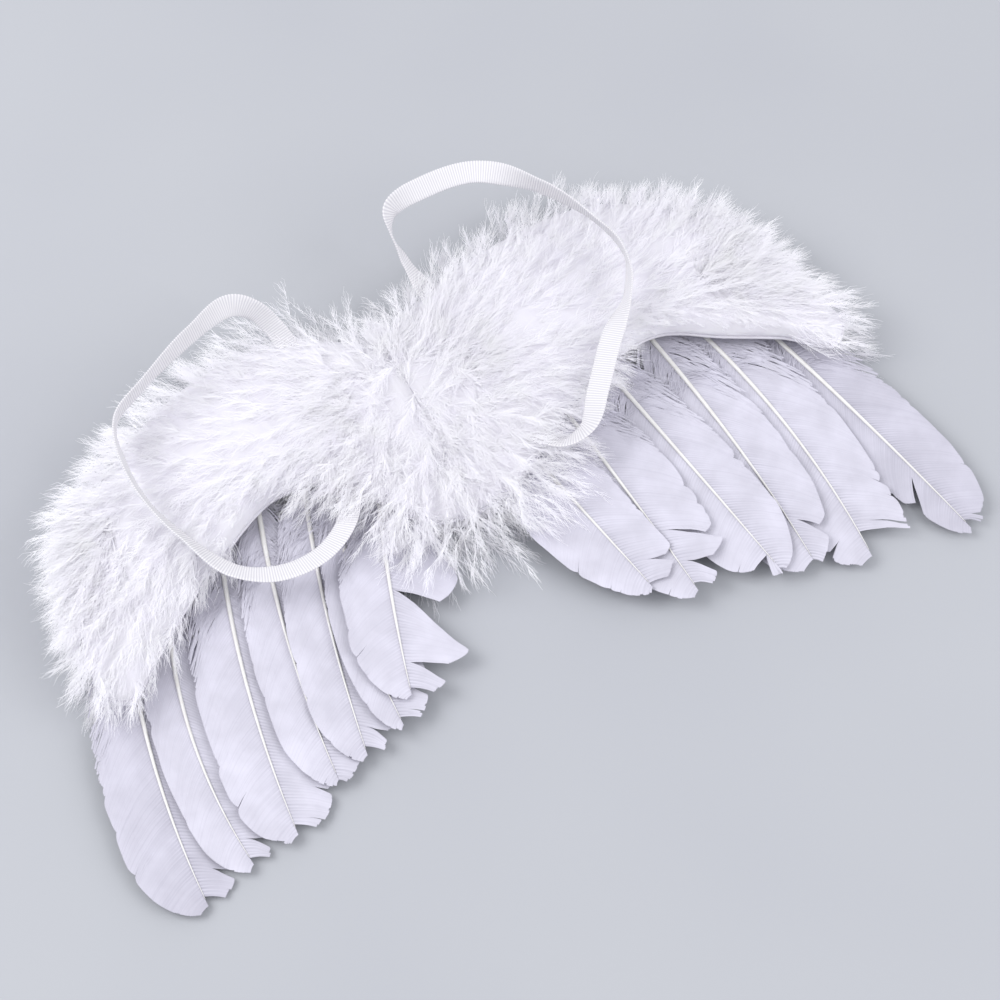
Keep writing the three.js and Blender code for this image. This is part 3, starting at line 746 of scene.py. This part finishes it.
def barbs(rng, row, side, flank, depth, splits):
    """One vane's barbs, as narrow strips with a raised middle."""
    size = settings().feather
    vane = row.outer if flank > 0 else row.inner
    full = row.long * size.length
    count = round((vane.stop - FIRST_BARB) * full / size.barb_pitch)
    step = (vane.stop - FIRST_BARB) / count
    start = np.linspace(FIRST_BARB, vane.stop, count) + rng.uniform(-0.1, 0.1, count) * step
    loose = 1 - smoothstep(start, *LOOSE)
    rake = BARB_RAKE * (1 - start) ** 0.75 * (1 - DOWNY_RAKE * (1 - smoothstep(start, 0, DOWNY_STOP)))
    end = start + rake + rng.normal(0, 0.0003, count)
    u = np.linspace(0, 1, BARB_STEPS)
    along = start[:, None] + (end - start)[:, None] * ((1 - BARB_CURVE) * u + BARB_CURVE * u ** 2)
    kept = np.ones(count)
    for split in splits:
        away = end - split.along
        zone = max(SPLIT_ZONE * split.open, LEAST_SPLIT)
        near = np.maximum(0, 1 - np.abs(away) / zone)
        push = np.where(away < 0, -1, 1) * split.open / 2 * near
        along += push[:, None] * np.clip((u - 1 + split.deep) / split.deep, 0, 1) ** 1.3
        end = end + push
        kept *= 1 - min(SPLIT_WEAR, 8 * split.open) * near ** 2
    end = np.clip(end, 0, 0.999)
    uneven = rng.normal(0, BARB_UNEVEN, count + EVEN_OVER - 1)
    uneven = np.convolve(uneven, np.hanning(EVEN_OVER) / ((EVEN_OVER - 1) / 2), "valid")
    wide = vane.wide * size.width / 2 * vane_width(end, vane) * (1 + uneven) * kept
    wide *= 1 - loose * rng.uniform(0, LOOSE_SHORTER, count)
    ragged = np.repeat(rng.uniform(0, 1, count // TORN_TOGETHER + 1), TORN_TOGETHER)[:count]
    wide *= 1 - TORN * (smoothstep(start, vane.stop - TORN_ZONE, vane.stop) * ragged)
    waves = np.sin(2 * pi * (rng.uniform(1, 2, count)[:, None] * u + rng.uniform(0, 1, count)[:, None]))
    along = along + loose[:, None] * LOOSE_WAVE * waves * u
    quill_half = size.quill_width / 2 * (1 - QUILL_TAPER * start) * BARB_SEAT
    across = quill_half[:, None] + (wide - quill_half)[:, None].clip(0) * u
    # Painted shade: the stripes where barbs bunch beside the quill darken the tint as well as sinking the
    # barbs
    bunch = 0.5 + 0.5 * np.sin(2 * pi * start * full / STRIPE_PITCH + rng.normal(0, 0.3, count))
    strength = 1 if side * flank > 0 else FAINT_STRIPES
    stripes = bunch[:, None] * np.exp(-across / STRIPE_REACH) * strength
    lift = rng.normal(0, 0.02 * MM, count)[:, None] * u
    lift = lift + loose[:, None] * rng.uniform(-0.1, 0.5, (count, 1)) * MM * u
    fold = np.sin(2 * pi * (across / FOLD_WIDTH + rng.uniform() + along))
    fold *= np.minimum(1, across / FOLD_WIDTH)
    cup = VANE_CUP * np.sin(pi * u) - STRIPE_DEPTH * stripes + FOLD_DEPTH * fold
    middle = on_vane(row, side, depth, along, flank * across, lift + cup)
    spread = 1 + TIP_SPREAD * smoothstep(start, 0.7, 0.95)[:, None] * u
    half = (BARB_OVERLAP / 2 * size.barb_pitch * spread * (1 - 0.15 * loose[:, None]))[..., None]
    half = level_across(middle) * half
    rows = np.stack([middle - half, middle + (0, 0, BARB_RIDGE), middle + half], axis=2)
    # Painted shade: the outermost feather is darkened all over, and the stripes beside the quill too
    outermost = OUTERMOST_PAINTED_SHADE if row is FEATHERS["right" if side > 0 else "left"][-1] else 0
    tint = 1 - outermost - BARB_SHADE * rng.uniform(0, 1, (count, 1)) ** 3 - STRIPE_PAINTED_SHADE * stripes
    return strips(rows, tint=tint.clip(0, 1)[..., None])


def level_across(lines):
    """The level direction across lines of points, at each point."""
    return unit(np.cross(unit(np.gradient(lines, axis=-2)), (0, 0, 1)))


def wisps(rng, row, side, depth):
    """Downy barbs beside the quill's end, which wave over the vane on both sides."""
    size = settings()
    shape = (WISPS, 1)
    u = np.linspace(0, 1, WISP_STEPS)
    start = rng.uniform(*WISP_ROOTS, shape)
    flank = rng.choice([-1, 1], shape)
    reach = rng.uniform(*WISP_REACH, shape) * size.feather.width / 2
    phase = rng.uniform(0, 1, shape)
    along = start + rng.uniform(*WISP_RUN, shape) * u ** 1.4
    along = along + LOOSE_WAVE * u * np.sin(2 * pi * (1.3 * u + phase))
    lift = size.feather.vane / 2 + rng.uniform(*WISP_LIFT, shape) * MM * np.sin(0.75 * pi * u)
    middle = on_vane(row, side, depth, along, flank * reach * u, lift)
    felt_low, _ = felt_levels()
    middle[..., 2] = np.minimum(middle[..., 2], felt_low - size.wing.gap)
    half = (WISP_WIDTH / 2 * (1 - WISP_TAPER * u))[:, None] * level_across(middle)
    return strips(np.stack([middle - half, middle + half], axis=2))


def quill(row, side, depth):
    """A feather's quill, which tapers to a point and lies in the vane."""
    size = settings().feather
    along = np.linspace(0, QUILL_STOP, QUILL_STEPS)
    taper = 1 - QUILL_TAPER * along - QUILL_POINT * along ** 8
    turn = np.linspace(0, 2 * pi, QUILL_SIDES, endpoint=False)
    crown = size.vane / 2 + size.quill_height * taper
    foot = -QUILL_SINK * size.vane
    across = np.cos(turn) * (size.quill_width / 2 * taper)[:, None]
    lift = (crown + foot)[:, None] / 2 + np.sin(turn) * (crown - foot)[:, None] / 2
    rings = on_vane(row, side, depth, along[:, None] * np.ones(QUILL_SIDES), across, lift)
    tube = strips(rings[None], finish=1, closed=True)
    return tube._replace(faces=[tube.faces, caps(rings)])


def make_feathers():
    """The goose feathers of both wings, each with a quill, two vanes and wisps."""
    finishes = [goose_vane(), goose_quill()]
    for wing, side in SIDES.items():
        depth = 0
        for number, row in enumerate(FEATHERS[wing], start=1):
            depth += row.under
            rng = np.random.default_rng(100 * number + side)
            name = f"{wing}_{number}"
            parts = [quill(row, side, depth)]
            for flank in (-1, 1):
                splits = [s for s in SPLITS.get(name, []) if s.flank == flank]
                parts.append(barbs(rng, row, side, flank, depth, splits + small_splits(rng)))
            parts.append(wisps(rng, row, side, depth))
            settle(add_mesh(f"goose_feather_{name}", parts, finishes), f"feather_{name}")


# Down

PAD_OVERLAP = 0.15    # how far the padding is made past the midline before it is cut, of the reach
FLOW_WIDTH = 0.185    # distance from the arm at which down lies half outwards, of the reach
MIDLINE_LAP = 10 * MM  # how far plumes of one wing are rooted past the midline, to close the parting
TOUSLED = 0.22        # how far from the midline down lies in all directions, of the reach
HEM_FADE = 8 * MM     # how gradually a clean stretch of the felt's edge begins
OVERHANG = 4 * MM     # how far the front down may hang below the felt's upper face
SETTLE = 0.5 * MM     # how softly down comes to rest on what is under it
OFF_FLOOR = 0.3 * MM  # where the lowest strands lie over the floor
UNDER_FEATHERS = 2.2 * MM     # room for the back down between the floor and the feathers
FEATHER_EDGE = 3 * MM         # how gradually that room begins above the quills' ends
PAD_INSET = {"front": 0.985, "back": 0.94}    # share of the way from the arm to the felt's edge
LEAST_PLUME = 0.2     # share of a plume below which none is set beside a clean edge
LEAST_FALL = 0.25     # how far outwards over a clean edge plumes are taken to lie at least
RIM = (0.78, 0.95)    # shares of the way to the felt's edge between which the plumes become rim plumes
RIM_SPREAD = 14       # how many degrees more the plumes at the edge point up and down
RIM_BUSH = 0.9        # how much rounder than a flat plume they are

# The padding under the plumes: rings from below, round its edge and over the top, as shares of the way
# from the arm to its rim, and the profile of its top as heights at such shares
PAD_RINGS = (0.04, 1, 1, 0.97, 0.92, 0.86, 0.78, 0.68, 0.56, 0.42, 0.28, 0.14, 0.04)
PAD_PROFILE = ((0.5, 0.8, 0.92, 0.97, 1), (1, 0.85, 0.6, 0.35, 0))
PAD_RIM_POINTS = 120
PAD_SHARE = 0.8       # height of the padding as a share of the coat's loft
PAD_EDGE = 0.2        # height of its upright edge as a share of that
PAD_BUMPS = 0.05      # how uneven it is, as a share of the loft
PAD_PAINTED_SHADE = 0.7        # painted shade: the padding, which shows only in the hollows between plumes, is drawn a little greyer than its plumes

DOWN_SEEDS = {"front": 1007, "back": 1000}
LIE_ACROSS = 13       # how many degrees plumes lie across their neighbours
MIDLINE_LIE = 3       # how much more so beside the midline
LIFT_SPREAD = 4       # how many degrees more or less than usual they point up
ROOM_FOR_TIPS = 0.5   # how far strands reach beyond a shaft, as a share of their length
PLUME_SEAT = 0.75     # level in the padding at which plumes are rooted, as a share of the loft
UNEVEN = (0.8, 1.2)   # shares of their usual length that plumes have
CLUMPS = (7, 17, 31)  # how often plumes bunch up into tufts round a wing, in three sizes of tuft
CLUMPING = 0.35       # how much longer or shorter the tufts at the edge are
FOOT_STRETCH = 0.1    # share of the edge, up from the foot of the midline, where plumes are added
FOOT = (0.85, 0.97)   # and how far out from the arm they are rooted

STRAND_STEPS = 4
PLUME_SWAY = 0.18     # how far a shaft curves sideways, as a share of its length
PLUME_FALL = 0.1      # how far its tip falls
PLUME_FLATNESS = 0.6  # how far round the shaft strands stray from its two sides, in radians
ROOT_ANGLE = 55       # degrees between strands and their shaft at its root
TIP_ANGLE = 30        # and at its tip
STRAND_LEAN = 0.45    # how far strands bend towards the shaft's tip, as a share of their length
STRAND_SAG = (0.02, 0.22)   # how far they sag
STRAND_WAVE = 0.07    # how far they wave
STRAND_TAPER = 0.7    # how much of its width a strand loses by its tip
STRAND_TWIST = 0.5    # how far its flat side turns from the way it faces, in radians
STRAND_SHADE = 0.15   # how much greyer than the palest strand the greyest is


def pad_height(at):
    """Share of the padding's full height, from its edge at 1 to its crown."""
    return np.interp(at, *PAD_PROFILE)


def arm_point(side, points):
    """The nearest points on the line along the middle of a wing's arm."""
    shoulder = np.array(in_plan(side, SHOULDER))
    wrist = np.array(in_plan(side, WRIST))
    line = wrist - shoulder
    part = np.clip((points - shoulder) @ line / (line @ line), 0, 1)
    return shoulder + part[:, None] * line


def pad_rim(wing, edge):
    """The felt's edge, closed past the midline."""
    beyond = -SIDES[wing] * PAD_OVERLAP * settings().wing.reach
    return np.vstack([edge, [[beyond, edge[-1, 1]], [beyond, edge[0, 1]]]])


def padding(rng, wing, base, loft, inset):
    """The packed down under the plumes, a crowned form cut off at the midline."""
    size = settings().wing
    side = SIDES[wing]
    rim = pad_rim(wing, spaced(edge_line(wing), np.linspace(0, 1, PAD_RIM_POINTS)))
    arm = arm_point(side, rim)
    rings = []
    for i, at in enumerate(PAD_RINGS):
        plan = arm + (rim - arm) * at * inset
        high = 0 if i < 2 else PAD_SHARE * loft * (pad_height(at) if i > 2 else PAD_EDGE)
        bumpy = 0 if i < 3 else rng.normal(0, PAD_BUMPS * abs(loft), len(rim))
        rings.append(np.column_stack([plan, base + high + bumpy + np.zeros(len(rim))]))
    rings = np.array(rings)
    build = bmesh.new()
    rows = [[build.verts.new(p) for p in ring] for ring in rings]
    count = len(rim)
    for under, over in zip(rows, rows[1:]):
        for i in range(count):
            j = (i + 1) % count
            build.faces.new((under[i], under[j], over[j], over[i]))
    build.faces.new(rows[0][::-1])
    build.faces.new(rows[-1])
    everything = list(build.verts) + list(build.edges) + list(build.faces)
    cut = bmesh.ops.bisect_plane(
        build, geom=everything, plane_co=(side * size.gap / 2, 0, 0), plane_no=(-side, 0, 0),
        clear_outer=True,
    )
    bmesh.ops.edgeloop_fill(build, edges=[e for e in cut["geom_cut"] if isinstance(e, bmesh.types.BMEdge)])
    bmesh.ops.triangulate(build, faces=build.faces)
    bmesh.ops.recalc_face_normals(build, faces=build.faces)
    build.verts.index_update()
    points = np.array([v.co for v in build.verts])
    faces = np.array([[v.index for v in f.verts] for f in build.faces])
    build.free()
    # The padding's low tint is painted shade for the hollows between the plumes
    return Part(points, faces, np.full(len(points), PAD_PAINTED_SHADE), None, 0)


def hem_room(wing, plan, heading):
    """How far down may reach before it hangs over a clean stretch of the felt's edge."""
    size = settings().wing
    side, hem = SIDES[wing], HEMS[wing]
    edge = edge_line(wing)
    lower = edge[np.argmax(side * edge[:, 0]):][::-1]
    out = side * plan[:, 0]
    above = plan[:, 1] - np.interp(out, side * lower[:, 0], lower[:, 1])
    start, stop = hem.start * size.reach, hem.stop * size.reach
    inside = smoothstep(out, start - HEM_FADE, start) * (1 - smoothstep(out, stop, stop + HEM_FADE))
    downwards = np.maximum(-heading[:, 1], LEAST_FALL)
    return above.clip(0) / downwards + (1 - inside) * size.reach


def lie_of_down(rng, side, plan):
    """Which way plumes lie in plan: out from the arm and on towards the wing's tip, and tousled beside
    the midline."""
    size = settings().wing
    away = (plan - arm_point(side, plan)) / (FLOW_WIDTH * size.reach)
    away[:, 0] = side * (side * away[:, 0]).clip(0)
    middle = 1 - smoothstep(side * plan[:, 0], 0, TOUSLED * size.reach)
    heading = unit(away + np.array([side, -0.1]) * (1 - 0.75 * middle)[:, None])
    turn = rng.normal(0, 1, len(plan)) * radians(LIE_ACROSS) * (1 + MIDLINE_LIE * middle)
    return np.stack([
        heading[:, 0] * np.cos(turn) - heading[:, 1] * np.sin(turn),
        heading[:, 0] * np.sin(turn) + heading[:, 1] * np.cos(turn),
    ], axis=-1)


def plume_places(rng, wing, coat, base, loft):
    """Where the plumes of a coat stand, which way they lie, their upward angle, the shares of their full
    length that their shafts and strands have, and how near they are to the felt's edge."""
    size = settings()
    side = SIDES[wing]
    edge = edge_line(wing)
    rim = np.vstack([pad_rim(wing, edge), edge[:1]])
    around = np.sum(spans(rim))
    edge_share = np.sum(spans(edge)) / around
    shares, at = [], []
    for row in (np.arange(coat.rows) + 0.6) / coat.rows:
        count = round(around * (0.4 + 0.6 * row) / size.down.pitch)
        shares.append((np.arange(count) + rng.uniform(0, 1, count)) / count)
        at.append(row + rng.normal(0, 0.35 / coat.rows, count))
    shares.append(edge_share * (1 - rng.uniform(0, FOOT_STRETCH, coat.foot)))
    at.append(rng.uniform(*FOOT, coat.foot))
    shares, at = np.concatenate(shares), np.concatenate(at).clip(0, FOOT[1])
    rim_points = spaced(rim, shares)
    arm = arm_point(side, rim_points)
    plan = arm + (rim_points - arm) * at[:, None]
    kept = side * plan[:, 0] > -MIDLINE_LAP
    shares, at, plan = shares[kept], at[kept], plan[kept]
    heading = lie_of_down(rng, side, plan)
    outer = smoothstep(at, 0.5, 1)
    on_edge = shares / edge_share
    tail = coat.tail * smoothstep(on_edge, 0.82, 1) * (1 - smoothstep(on_edge, 1, 1.1)) * outer
    clumps = sum(np.sin(2 * pi * (turns * shares + rng.uniform())) for turns in CLUMPS) / len(CLUMPS)
    reach = (coat.reach + (coat.edge_reach - coat.reach) * outer) * (1 + tail)
    reach *= 1 + CLUMPING * clumps * outer
    fringe = np.interp(on_edge, [row.place for row in FRINGES[wing]], [row.longer for row in FRINGES[wing]])
    reach *= rng.uniform(*UNEVEN, len(at)) * (1 + (fringe - 1) * outer)
    fit = np.ones(len(at))
    if loft > 0:
        full = size.down.plume * reach + ROOM_FOR_TIPS * size.down.strand
        fit = np.minimum(hem_room(wing, plan, heading) / full, 1)
    rim = smoothstep(at, *RIM)
    spread = rng.normal(0, 1, len(at)) * (LIFT_SPREAD + RIM_SPREAD * rim)
    lift = coat.lift + (coat.edge_lift - coat.lift) * outer + spread
    seat = pad_height(at) * (1 - rim * rng.uniform(0, 1, len(at)))
    roots = np.column_stack([plan, base + PLUME_SEAT * loft * seat])
    places = roots, heading, np.radians(lift), reach * fit, fit, rim
    return [values[fit > LEAST_PLUME] for values in places]


def plumes(rng, places, outer_way, levels):
    """Marabou plumes: a soft shaft with strands to all sides that lean towards its tip."""
    size = settings().down
    roots, heading, lift, reach, fit, rim = places
    count, strands, steps = len(roots), size.strands, STRAND_STEPS
    forward = np.column_stack([heading * np.cos(lift)[:, None], np.sin(lift)])[:, None]
    side = unit(np.cross(forward, (0, 0, 1.0)))
    over = np.cross(side, forward)
    shape = (count, strands, 1)
    q = rng.uniform(0, 1, shape) ** 0.85
    sway = rng.normal(0, PLUME_SWAY, (count, 1, 1))
    fall = np.array([0, 0, -PLUME_FALL])
    bend = q * forward + q ** 2 * (sway * side + fall)
    shaft = roots[:, None] + size.plume * reach[:, None, None] * bend
    angle = np.radians((ROOT_ANGLE + (TIP_ANGLE - ROOT_ANGLE) * q) * rng.uniform(0.15, 1.2, shape))
    flatness = PLUME_FLATNESS + RIM_BUSH * rim[:, None, None]
    around = rng.normal(0, 1, shape) * flatness + pi * rng.integers(0, 2, shape)
    leave = forward * np.cos(angle) + (side * np.cos(around) + over * np.sin(around)) * np.sin(angle)
    long = size.strand * (1.1 - 0.45 * q) * rng.uniform(0.5, 1.2, shape) * fit[:, None, None]
    v = np.linspace(0, 1, steps)[:, None]
    shaft, leave, long, forward, side, over = (
        values[:, :, None] for values in (shaft, leave, long, forward, side, over)
    )
    lean = STRAND_LEAN * v ** 2 * (forward - leave)
    sag = v ** 2 * np.array([0, 0, -1.0]) * rng.uniform(*STRAND_SAG, long.shape)
    phase = rng.uniform(0, 1, long.shape)
    wave = np.sin(2 * pi * (1.1 * v + phase)) * side + np.cos(2 * pi * (0.9 * v + phase)) * over
    wave *= STRAND_WAVE * v
    path = shaft + long * (v * leave + lean + sag + wave)
    path[..., 2] = levels(path, rng.uniform(0, 0.6 * MM, long.shape[:3]))
    tangent = unit(np.gradient(path, axis=2))
    target = unit(unit(path - shaft + 1e-6) * 0.25 + forward * 0.25 + np.array([0, 0, outer_way]))
    flat = unit(np.cross(target, tangent))
    facing = np.cross(tangent, flat)
    twist = rng.normal(0, STRAND_TWIST, long.shape)
    across = flat * np.cos(twist) + facing * np.sin(twist)
    normals = unit(np.cross(tangent, across) * (1 - size.softness) + target * size.softness)
    half = size.strand_width / 2 * (1 - STRAND_TAPER * v) * rng.uniform(0.6, 1.2, long.shape)
    rows = np.stack([path + across * half, path - across * half], axis=3)
    tint = 1 - STRAND_SHADE * rng.uniform(0, 1, (count * strands, 1, 1)) ** 2
    normals = np.repeat(normals.reshape(count * strands, steps, 1, 3), 2, axis=2)
    return strips(rows.reshape(count * strands, steps, 2, 3), tint=tint, normals=normals)


def make_down(place, base, loft, levels):
    """The down of both wings on one face of the felt."""
    finishes = [marabou_down()]
    for wing, side in SIDES.items():
        rng = np.random.default_rng(DOWN_SEEDS[place] + side)
        pad = padding(rng, wing, base, loft, PAD_INSET[place])
        if place == "back":
            pad.points[:, 2] = levels(pad.points, 0)
        places = plume_places(rng, wing, COATS[place], base, loft)
        parts = [pad, plumes(rng, places, np.sign(loft), levels)]
        settle(add_mesh(f"marabou_{place}_{wing}", parts, finishes), f"down_{place}_{wing}")


def make_front_down():
    """The down round the arm loops, which may hang a little over the felt's edge."""
    size = settings()
    _, felt_high = felt_levels()

    def levels(points, apart):
        low = felt_high - OVERHANG + apart
        return low + SETTLE * np.logaddexp(0, (points[..., 2] - low) / SETTLE)

    make_down("front", felt_high + size.wing.gap, size.wing.front_loft, levels)


def quill_line(out):
    """Level in plan of the feathers' quill ends, at distances from the midline either way."""
    rows = [in_plan(side, row) for wing, side in SIDES.items() for row in FEATHERS[wing]]
    rows = np.array(sorted(rows))
    return np.interp(out, rows[:, 0], rows[:, 1]) + 2 * settings().feather.quill_width


def make_back_down():
    """The down that the wings rest on, squashed between the floor and the felt or the feathers."""
    size = settings()
    felt_low, _ = felt_levels()
    top = felt_low - size.wing.gap

    def levels(points, apart):
        under = 1 - smoothstep(points[..., 1] - quill_line(points[..., 0]), 0, FEATHER_EDGE)
        low = OFF_FLOOR + 0.5 * apart
        high = top - 0.5 * apart
        level = low + SETTLE * np.logaddexp(0, (points[..., 2] - low) / SETTLE)
        level = high - SETTLE * np.logaddexp(0, (high - level) / SETTLE)
        squashed = (UNDER_FEATHERS - low) / (top - low)
        return low + (level - low) * (1 - (1 - squashed) * under)

    make_down("back", top, -top, levels)


# Arm loops

ROUTE_POINTS = 2001   # points at which a loop's length is measured
RIB_STEPS = 4         # rings of points for each cross rib
RIB_DEPTH = 0.28      # how much thinner the elastic is between two ribs
RIB_WIDTH = 0.035     # and how much narrower

# Half the outline of the elastic's section, as shares of half its width and half its thickness: rounded
# edges, and two shallow grooves between three lengthwise ridges
SECTION = (
    (-1, 0), (-0.98, 0.5), (-0.9, 0.9), (-0.6, 0.8), (-0.3, 0.86), (0, 0.8), (0.3, 0.86), (0.6, 0.8),
    (0.9, 0.9), (0.98, 0.5),
)


def loop_route(wing, shares):
    """Centre line of an arm loop, and the direction of the elastic's width along it."""
    size = settings()
    side = SIDES[wing]
    table = LOOPS[wing]
    _, felt_high = felt_levels()
    seat = felt_high + size.wing.gap + size.elastic.thickness / 2
    points = [(*in_plan(side, row), seat + row.high * size.elastic.loop_height) for row in table]
    route = smooth_curve(points, shares)
    place = shares * (len(table) - 1)
    span = np.minimum(place.astype(int), len(table) - 2)
    lean = np.array([row.lean for row in table])
    part = smoothstep(place - span, 0, 1)
    lean = np.radians(lean[span] * (1 - part) + lean[span + 1] * part)[:, None]
    along = unit(np.gradient(route, axis=0))
    level = unit(np.cross(along, (0, 0, 1)))
    rising = unit(np.cross(level, along))
    across = unit(-side * level * np.cos(lean) + rising * np.sin(lean))
    return route, along, across


def make_straps():
    """The two arm loops: ribbed elastic, swept along each loop's route."""
    size = settings().elastic
    finishes = [knitted_elastic()]
    section = np.array(SECTION + tuple((-w, -h) for w, h in SECTION))
    for wing in SIDES:
        shares = np.linspace(0, 1, ROUTE_POINTS)
        route, _, _ = loop_route(wing, shares)
        reached = travelled(route)
        ribs = round(reached[-1] / size.rib_pitch)
        steps = ribs * RIB_STEPS
        even = np.interp(np.linspace(0, 1, steps + 1), reached / reached[-1], shares)
        centre, along, across = loop_route(wing, even)
        face = unit(np.cross(along, across))
        swell = 0.5 + 0.5 * np.cos(2 * pi * np.arange(steps + 1) / RIB_STEPS)
        half_width = size.width / 2 * (1 - RIB_WIDTH + RIB_WIDTH * swell)
        half_thick = size.thickness / 2 * (1 - RIB_DEPTH + RIB_DEPTH * swell)
        rings = centre[:, None] + across[:, None] * (section[:, 0] * half_width[:, None])[..., None]
        rings = rings + face[:, None] * (section[:, 1] * half_thick[:, None])[..., None]
        # The ribs' swell is also their tint, so the grooves between ribs are painted darker as shade
        tube = strips(rings[None], tint=swell[None, :, None], closed=True)
        tube = tube._replace(faces=[tube.faces, caps(rings)])
        settle(add_mesh(f"elastic_loop_{wing}", [tube], finishes), f"strap_{wing}")


# Stage

VIEW_AZIMUTH = -26      # degrees, as the photograph was taken
VIEW_ELEVATION = 63
LENS = 70               # millimetres on the sensor below
SENSOR = 36
IMAGE_SIDE = 1000
AIM_PIXEL = (437, 450)  # where the midline's centre shows in the photograph
AIM_LEVEL = 12 * MM
DISTANCE = 845 * MM

# Metres, as the lights and the floor are
KEY_SIZE = 0.9
KEY_PLACE = (-0.9, 0.5, 1.1)
FILL_SIZE = 1.2
FILL_PLACE = (1.0, -0.8, 0.9)
MIDDLE = (0, 0, 0)
HALF_FLOOR = 4
SKY_COLOUR = "#f2f3f7"


def make_camera():
    """The camera that took the photograph, as worked out from the wings' outline in it."""
    azimuth, elevation = radians(VIEW_AZIMUTH), radians(VIEW_ELEVATION)
    back = Vector((sin(azimuth) * cos(elevation), -cos(azimuth) * cos(elevation), sin(elevation)))
    right = Vector((cos(azimuth), sin(azimuth), 0))
    upward = back.cross(right)
    focal = LENS / SENSOR * IMAGE_SIDE
    across, down = ((pixel - IMAGE_SIDE / 2) / focal for pixel in AIM_PIXEL)
    ray = (right * across - upward * down - back).normalized()
    camera = bpy.data.objects.new("camera", bpy.data.cameras.new("camera"))
    camera.data.lens = LENS
    camera.data.sensor_width = SENSOR
    camera.data.clip_start = 10 * MM
    camera.location = Vector(frame_shift()) + Vector((0, 0, AIM_LEVEL)) - ray * DISTANCE
    camera.rotation_mode = "QUATERNION"
    camera.rotation_quaternion = (-back).to_track_quat("-Z", "Y")
    bpy.context.scene.collection.objects.link(camera)
    bpy.context.scene.camera = camera


def make_light(name, power, size, place, aim):
    """A square soft light at a place, turned to where it is aimed."""
    light = bpy.data.objects.new(name, bpy.data.lights.new(name, "AREA"))
    light.data.energy = power
    light.data.size = size
    light.location = place
    light.rotation_mode = "QUATERNION"
    light.rotation_quaternion = (Vector(aim) - Vector(place)).to_track_quat("-Z", "Y")
    bpy.context.scene.collection.objects.link(light)


def make_stage():
    """A pale floor under a soft sky, two lights and the camera."""
    size = settings().stage
    build = bmesh.new()
    bmesh.ops.create_grid(build, x_segments=1, y_segments=1, size=HALF_FLOOR)
    mesh = bpy.data.meshes.new("studio_floor")
    build.to_mesh(mesh)
    build.free()
    mesh.materials.append(studio_floor())
    floor = bpy.data.objects.new("studio_floor", mesh)
    bpy.context.scene.collection.objects.link(floor)
    make_light("key", size.key_power, KEY_SIZE, KEY_PLACE, MIDDLE)
    make_light("fill", size.fill_power, FILL_SIZE, FILL_PLACE, MIDDLE)
    world = bpy.data.worlds.new("studio")
    world.use_nodes = True
    sky = world.node_tree.nodes["Background"]
    sky.inputs["Color"].default_value = linear(SKY_COLOUR)
    sky.inputs["Strength"].default_value = size.sky
    bpy.context.scene.world = world
    bpy.context.scene.view_settings.view_transform = "Standard"
    make_camera()


# Operators, panel and run

class MakeStage(bpy.types.Operator):
    """Make the floor, the lights and the camera"""

    bl_idname = "angel_wings.stage"
    bl_label = "Stage"

    def execute(self, context):
        make_stage()
        return {"FINISHED"}


class MakeBacking(bpy.types.Operator):
    """Make the felt backing"""

    bl_idname = "angel_wings.backing"
    bl_label = "Felt Backing"

    def execute(self, context):
        make_backing()
        return {"FINISHED"}


class MakeFeathers(bpy.types.Operator):
    """Make the thirteen goose feathers"""

    bl_idname = "angel_wings.feathers"
    bl_label = "Goose Feathers"

    def execute(self, context):
        make_feathers()
        return {"FINISHED"}


class MakeBackDown(bpy.types.Operator):
    """Make the marabou down of the display side"""

    bl_idname = "angel_wings.back_down"
    bl_label = "Back Down"

    def execute(self, context):
        make_back_down()
        return {"FINISHED"}


class MakeFrontDown(bpy.types.Operator):
    """Make the marabou down of the side with the arm loops"""

    bl_idname = "angel_wings.front_down"
    bl_label = "Front Down"

    def execute(self, context):
        make_front_down()
        return {"FINISHED"}


class MakeStraps(bpy.types.Operator):
    """Make the two elastic arm loops"""

    bl_idname = "angel_wings.straps"
    bl_label = "Arm Loops"

    def execute(self, context):
        make_straps()
        return {"FINISHED"}


OPERATORS = (MakeStage, MakeBacking, MakeFeathers, MakeBackDown, MakeFrontDown, MakeStraps)
GROUPS = (
    WingSettings, FeltSettings, FeatherSettings, DownSettings, ElasticSettings, StageSettings, AngelWings
)


class WingsPanel(bpy.types.Panel):
    """Sizes, colours and a button for each piece"""

    bl_idname = "VIEW3D_PT_angel_wings"
    bl_label = "Angel Wings"
    bl_space_type = "VIEW_3D"
    bl_region_type = "UI"
    bl_category = "Wings"

    def draw(self, context):
        for name in ("wing", "felt", "feather", "down", "elastic", "stage"):
            group = getattr(context.scene.angel_wings, name)
            box = self.layout.box()
            box.label(text=name.title())
            for prop in group.bl_rna.properties:
                if prop.identifier not in ("rna_type", "name"):
                    box.prop(group, prop.identifier)
        for operator in OPERATORS:
            self.layout.operator(operator.bl_idname)


def register():
    for made in (*GROUPS, *OPERATORS, WingsPanel):
        bpy.utils.register_class(made)
    bpy.types.Scene.angel_wings = PointerProperty(type=AngelWings)


def unregister():
    del bpy.types.Scene.angel_wings
    for made in reversed((*GROUPS, *OPERATORS, WingsPanel)):
        bpy.utils.unregister_class(made)


def main():
    register()
    bpy.ops.angel_wings.stage()
    bpy.ops.angel_wings.backing()
    bpy.ops.angel_wings.feathers()
    bpy.ops.angel_wings.back_down()
    bpy.ops.angel_wings.front_down()
    bpy.ops.angel_wings.straps()


if __name__ == "__main__":
    main()
